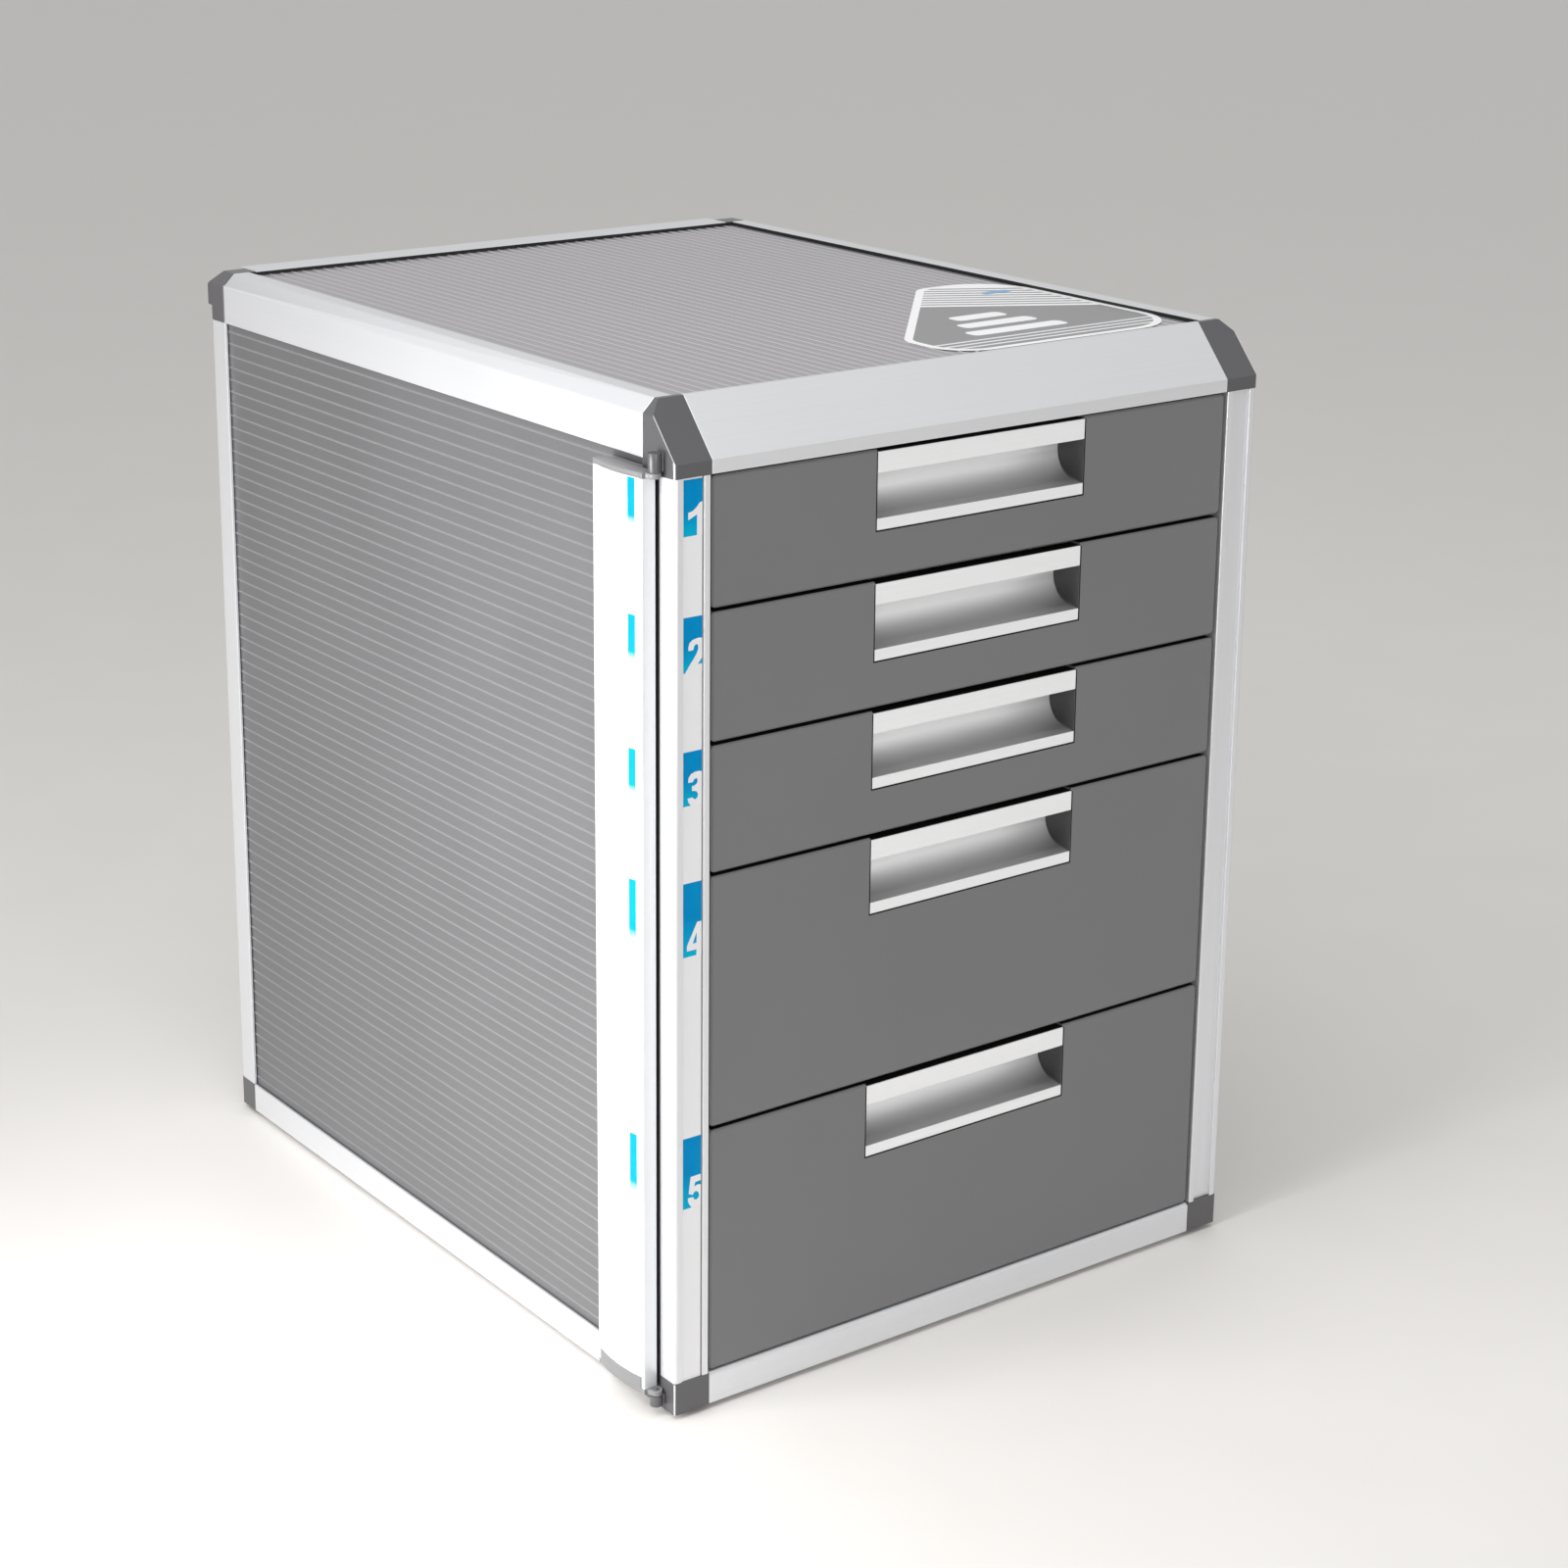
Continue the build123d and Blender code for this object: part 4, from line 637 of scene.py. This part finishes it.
def pull_joint_shadow(materials, number):
    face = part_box(f"drawer_{number}_front")[0][1]
    low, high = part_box(f"drawer_{number}_handle")
    width = JOINT_WIDTH * MM

    def on_front(x, z, lift):
        return (x, face - lift, z)

    left, right, foot, top = low[0], high[0], low[2], high[2]
    lines = [rectangle(left - width, left, foot, top),
             rectangle(right, right + width, foot, top),
             rectangle(left - width, right + width, foot - width, foot)]
    prism(f"pull_joint_shadow_{number}", [(line, 0.0, JOINT_LIFT * MM) for line in lines], on_front,
          materials["shadow"], f"drawer_{number}")


# Painted shade on the end walls of the finger recess: dark plates, in mm. Depths are from the
# pull's face, heights from its foot
RECESS_SHADOW_THICKNESS = 0.3
RECESS_SHADOW_FIT = 0.1
RECESS_SHADOW_FRONT = 0.4
PULL_HEIGHT = 31.4
PULL_BAR_THICKNESS = 2.0
PULL_BAR_HEIGHT = 8.4
PULL_TOP_WALL = 1.5
PULL_LIP = 4.8
RECESS_BACK = 15.8
RECESS_RISE = 1.2
RECESS_RADIUS = 11.0
COVE_STEPS = 8


def recess_outline():
    """Section of the finger recess: under the pull bar, over the lip and round the cove."""
    bar_back = PULL_BAR_THICKNESS + RECESS_SHADOW_FIT
    bar_foot = PULL_HEIGHT - PULL_BAR_HEIGHT
    ceiling = PULL_HEIGHT - PULL_TOP_WALL - RECESS_SHADOW_FIT
    lip = PULL_LIP + RECESS_SHADOW_FIT
    back = RECESS_BACK - RECESS_SHADOW_FIT
    outline = [(bar_back, ceiling), (bar_back, bar_foot), (RECESS_SHADOW_FRONT, bar_foot - RECESS_SHADOW_FIT),
               (RECESS_SHADOW_FRONT, lip)]
    for step in range(COVE_STEPS + 1):
        angle = math.pi / 2 * step / COVE_STEPS
        outline.append((back - RECESS_RADIUS + RECESS_RADIUS * math.sin(angle),
                        lip + RECESS_RISE + RECESS_RADIUS * (1 - math.cos(angle))))
    outline.append((back, ceiling))
    return outline


def recess_end_shadows(materials, number):
    low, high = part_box(f"drawer_{number}_handle")

    def on_end(depth, height, x):
        return (x, low[1] + depth * MM, low[2] + height * MM)

    ends = [(recess_outline(), low[0], low[0] + RECESS_SHADOW_THICKNESS * MM),
            (recess_outline(), high[0] - RECESS_SHADOW_THICKNESS * MM, high[0])]
    prism(f"recess_end_shadow_{number}", ends, on_end, materials["recess_shadow"],
          f"drawer_{number}")


# Painted shadows on the fronts: in the gaps, round the pulls and on the recesses' end walls
def front_shadows(materials):
    for number in DRAWERS:
        front_gap_shadows(materials, number)
        pull_joint_shadow(materials, number)
        recess_end_shadows(materials, number)


# Index card: a cyan tab and a ruled line for each drawer, on the card's bowed face
CARD_BULGE = 1.5 * MM
CARD_LIFT = 0.04 * MM
CARD_STEPS = 6
TAB_START = 2.0 * MM
TAB_WIDTH = 4.0 * MM
TAB_MARGIN = 0.3 * MM
LINE_START = 8.0 * MM
LINE_WIDTH = 9.0 * MM
LINE_HEIGHT = 0.3 * MM
LINE_DROP = 2.2 * MM

# Cap band over the card's foot, from a little below it
BAND_THICKNESS = 0.35 * MM
BAND_SINK = 0.1 * MM
BAND_TOP = 4.8 * MM
BAND_FOOT = 0.2 * MM
BAND_STEPS = 10


def card_face(y):
    """Outer face of the bowed card at a distance y."""
    low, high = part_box("index_card")
    half = (high[1] - low[1]) / 2
    radius = (half * half + CARD_BULGE * CARD_BULGE) / (2 * CARD_BULGE)
    middle = (low[1] + high[1]) / 2
    return low[0] + radius - math.sqrt(radius * radius - (y - middle) ** 2)


def bowed_strip(name, across, up, lifts, steps, material):
    """A thin strip that follows the card's face, between two lifts off it."""
    points, faces = [], []
    for step in range(steps + 1):
        y = across[0] + (across[1] - across[0]) * step / steps
        face = card_face(y)
        for lift in lifts:
            points += [(face - lift, y, up[0]), (face - lift, y, up[1])]
    for step in range(steps):
        a = 4 * step
        faces += [(a, a + 4, a + 5, a + 1), (a + 2, a + 3, a + 7, a + 6),
                  (a, a + 2, a + 6, a + 4), (a + 1, a + 5, a + 7, a + 3)]
    last = 4 * steps
    faces += [(0, 1, 3, 2), (last, last + 2, last + 3, last + 1)]
    mesh_object(name, points, faces, material, "index_bar")


def index_prints(materials):
    card_low, card_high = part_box("index_card")

    def add_print(name, start, width, foot, top, key):
        left = card_low[1] + start
        bowed_strip(name, (left, left + width), (foot, top), (CARD_LIFT, -CARD_LIFT), CARD_STEPS,
                    materials[key])

    for number in DRAWERS:
        front_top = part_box(f"drawer_{number}_front")[1][2]
        top = min(front_top, card_high[2] - TAB_MARGIN)
        line_top = top - LINE_DROP
        add_print(f"index_tab_{number}", TAB_START, TAB_WIDTH, top - block_height(number), top,
                  "tab_cyan")
        add_print(f"index_line_{number}", LINE_START, LINE_WIDTH, line_top - LINE_HEIGHT, line_top,
                  "ruled")


def cap_band(materials):
    card_low, card_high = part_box("index_card")
    bowed_strip("index_cap_band", (card_low[1], card_high[1]),
                (card_low[2] - BAND_FOOT, card_low[2] + BAND_TOP), (BAND_THICKNESS, -BAND_SINK),
                BAND_STEPS, materials["cap"])


def top_place(lift=0.0):
    """Places points in mm on the top panel, with heights from its rib crests."""
    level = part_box("top_panel")[1][2] / MM + lift

    def place(x, y, z):
        return (x * MM, y * MM, (level + z) * MM)

    return place


# Painted shadow in the seam between the top panel and the rails around it: dark strips, in mm in
# the row frame
SEAM = (-132.65, 140.95, -166.5, 171.5)
SEAM_WIDTH = 0.5
SEAM_HEIGHT = 1.25


def top_seam_shadow(materials):
    left, right, front, rear = SEAM
    outer = rectangle(*SEAM)
    inner = rectangle(left + SEAM_WIDTH, right - SEAM_WIDTH, front + SEAM_WIDTH, rear - SEAM_WIDTH)
    sides = []
    for corner in range(4):
        after = (corner + 1) % 4
        sides.append([outer[corner], outer[after], inner[after], inner[corner]])
    prism("top_seam_shadow", [(side, 0.0, SEAM_HEIGHT) for side in sides], top_place(),
          materials["rubber"])


# Label on the top panel: a plain film with a white edge, a grey field and simple bars.
# Corners in mm in the row frame, each with its rounding
LABEL_CORNERS = ((12.2, -159.8, 20.0), (140.3, -159.8, 28.0), (140.3, -31.5, 28.5),
                 (95.7, -31.5, 12.0), (12.2, -125.5, 14.0))
LABEL_EDGE = 3.6
LABEL_LIFT = 0.01
LABEL_THICKNESS = 0.12
INK = 0.05
CLOSEST_ROUNDING = 0.4

# The field lies in front of a slanted line, and fine lines on the white beyond it. Lines are
# given by their start, pitch, width and number
SLANT = (0.5, 0.866)
FIELD_EDGE = -25.0
FINE_LINES = (-21.0, 5.6, 2.4, 8)
ACROSS = (0.0, 1.0)
LIGHT_LINES = (-152.6, 5.0, 1.8, 3)

# Bars of the label: where each starts in x and its length, then the rows' start, pitch and height
BARS = ((44.0, 52.0), (52.0, 40.0), (60.0, 28.0))
BAR_ROWS = (-134.0, 15.0, 9.0)
BAR_ROUNDING = 3.0
MARK = (112.0, 128.0, -60.0, -55.0)
MARK_ROUNDING = 2.0


def inset_corners(corners, amount):
    """Corners moved inward by an amount, with their roundings made smaller by it."""
    count, moved = len(corners), []
    for number, (x, y, radius) in enumerate(corners):
        before, after = Vector(corners[number - 1][:2]), Vector(corners[(number + 1) % count][:2])
        here = Vector((x, y))
        in_side, out_side = (here - before).normalized(), (after - here).normalized()
        normals = Vector((-in_side.y, in_side.x)), Vector((-out_side.y, out_side.x))
        middle = (normals[0] + normals[1]).normalized()
        place = here + middle * (amount / middle.dot(normals[0]))
        moved.append((place.x, place.y, max(radius - amount, CLOSEST_ROUNDING)))
    return moved


def rounded(corners, steps=8):
    """Outline of a convex shape with rounded corners, run anticlockwise."""
    outline, count = [], len(corners)
    for number, (x, y, radius) in enumerate(corners):
        before, after = Vector(corners[number - 1][:2]), Vector(corners[(number + 1) % count][:2])
        here = Vector((x, y))
        back, ahead = (before - here).normalized(), (after - here).normalized()
        half = back.angle(ahead) / 2
        middle = (back + ahead).normalized()
        centre = here + middle * (radius / math.sin(half))
        start = here + back * (radius / math.tan(half)) - centre
        turn = math.pi - 2 * half
        for step in range(steps + 1):
            angle = turn * step / steps
            outline.append((centre.x + start.x * math.cos(angle) - start.y * math.sin(angle),
                            centre.y + start.x * math.sin(angle) + start.y * math.cos(angle)))
    return outline


def rounded_bar(left, right, front, rear, rounding):
    corners = rectangle(left, right, front, rear)
    return rounded([(x, y, rounding) for x, y in corners], steps=4)


def clipped(outline, direction, limit):
    """The part of a convex outline whose distance along a direction is below a limit."""
    kept = []
    for number, here in enumerate(outline):
        before = outline[number - 1]
        a = before[0] * direction[0] + before[1] * direction[1] - limit
        b = here[0] * direction[0] + here[1] * direction[1] - limit
        if a * b < 0:
            share = a / (a - b)
            kept.append((before[0] + (here[0] - before[0]) * share,
                         before[1] + (here[1] - before[1]) * share))
        if b <= 0:
            kept.append(here)
    return kept


def stripes(outline, direction, start, pitch, width, count):
    """Even stripes across a convex outline, those that meet it."""
    found = []
    for number in range(count):
        low = start + pitch * number
        lower = clipped(outline, direction, low + width)
        stripe = clipped(lower, (-direction[0], -direction[1]), -low)
        if len(stripe) > 2:
            found.append(stripe)
    return found


def top_label(materials):
    on_top = top_place(LABEL_LIFT)
    ink = LABEL_THICKNESS + INK

    def add_layer(name, outlines, low, high, key):
        prism(name, [(outline, low, high) for outline in outlines], on_top, materials[key])

    inner = rounded(inset_corners(LABEL_CORNERS, LABEL_EDGE))
    field = clipped(inner, SLANT, FIELD_EDGE)
    add_layer("label_film", [rounded(LABEL_CORNERS)], 0.0, LABEL_THICKNESS, "label_white")
    add_layer("label_field", [field], LABEL_THICKNESS, ink, "label_grey")
    add_layer("label_lines", stripes(inner, SLANT, *FINE_LINES), LABEL_THICKNESS, ink, "label_line")
    add_layer("label_light_lines", stripes(field, ACROSS, *LIGHT_LINES), LABEL_THICKNESS, ink + INK,
              "label_light")

    # Three plain white bars of growing length, and a small blue one
    first, pitch, height = BAR_ROWS
    bars = [rounded_bar(start, start + length, first + pitch * row, first + pitch * row + height,
                        BAR_ROUNDING) for row, (start, length) in enumerate(BARS)]
    add_layer("label_bars", bars, LABEL_THICKNESS, ink + INK, "label_white")
    add_layer("label_mark", [rounded_bar(*MARK, MARK_ROUNDING)], LABEL_THICKNESS, ink + INK,
              "label_blue")


# Floor, light and camera
def set_stage():
    mesh = bpy.data.meshes.new("floor")
    reach = FLOOR_REACH
    corners = [(x, y, 0) for x, y in rectangle(-reach, reach, -reach, reach)]
    mesh.from_pydata(corners, [], [(0, 1, 2, 3)])
    floor = bpy.data.objects.new("floor", mesh)
    bpy.context.scene.collection.objects.link(floor)
    floor.data.materials.append(moulded("floor", FLOOR_COLOUR, 0.6, grain=0.0, spread=0.004))


def soft_light(name, place, target, size, power, spread):
    data = bpy.data.lights.new(name, "AREA")
    data.shape = "RECTANGLE"
    data.size, data.size_y = size
    data.energy = power
    data.spread = math.radians(spread)
    lamp = bpy.data.objects.new(name, data)
    bpy.context.scene.collection.objects.link(lamp)
    lamp.location = place
    direction = Vector(target) - Vector(place)
    lamp.rotation_euler = direction.to_track_quat("-Z", "Y").to_euler()
    lamp.visible_camera = False


def set_lights():
    world = bpy.data.worlds.new("studio")
    bpy.context.scene.world = world
    world.use_nodes = True
    nodes, links = world.node_tree.nodes, world.node_tree.links
    place = nodes.new("ShaderNodeTexCoord")
    split = nodes.new("ShaderNodeSeparateXYZ")
    ramp = nodes.new("ShaderNodeValToRGB")
    for number, colour in enumerate((WORLD_LOW, WORLD_HIGH)):
        ramp.color_ramp.elements[number].position = WORLD_RAMP[number]
        ramp.color_ramp.elements[number].color = colour
    links.new(place.outputs["Generated"], split.inputs["Vector"])
    links.new(split.outputs["Z"], ramp.inputs["Fac"])
    links.new(ramp.outputs["Color"], nodes["Background"].inputs["Color"])
    nodes["Background"].inputs["Strength"].default_value = WORLD_STRENGTH
    for light in LIGHTS:
        soft_light(*light)


def set_camera():
    data = bpy.data.cameras.new("camera")
    data.lens = CAMERA_LENS
    data.sensor_width = CAMERA_SENSOR
    data.shift_x, data.shift_y = CAMERA_SHIFT
    data.clip_end = CAMERA_REACH
    camera = bpy.data.objects.new("camera", data)
    bpy.context.scene.collection.objects.link(camera)
    right = CAMERA_RIGHT.normalized()
    up = (-CAMERA_DOWN).normalized()
    back = right.cross(up)
    turn = Matrix((right, up, back)).transposed().to_4x4()
    camera.matrix_world = Matrix.Translation(CAMERA_PLACE) @ turn
    bpy.context.scene.camera = camera


materials = make_materials()
dress_nodes(materials)
number_blocks(materials)
index_prints(materials)
front_shadows(materials)
bar_gap_shadow(materials)
cap_band(materials)
top_seam_shadow(materials)
top_label(materials)
set_stage()
set_lights()
set_camera()
bpy.context.scene.view_settings.view_transform = "Standard"
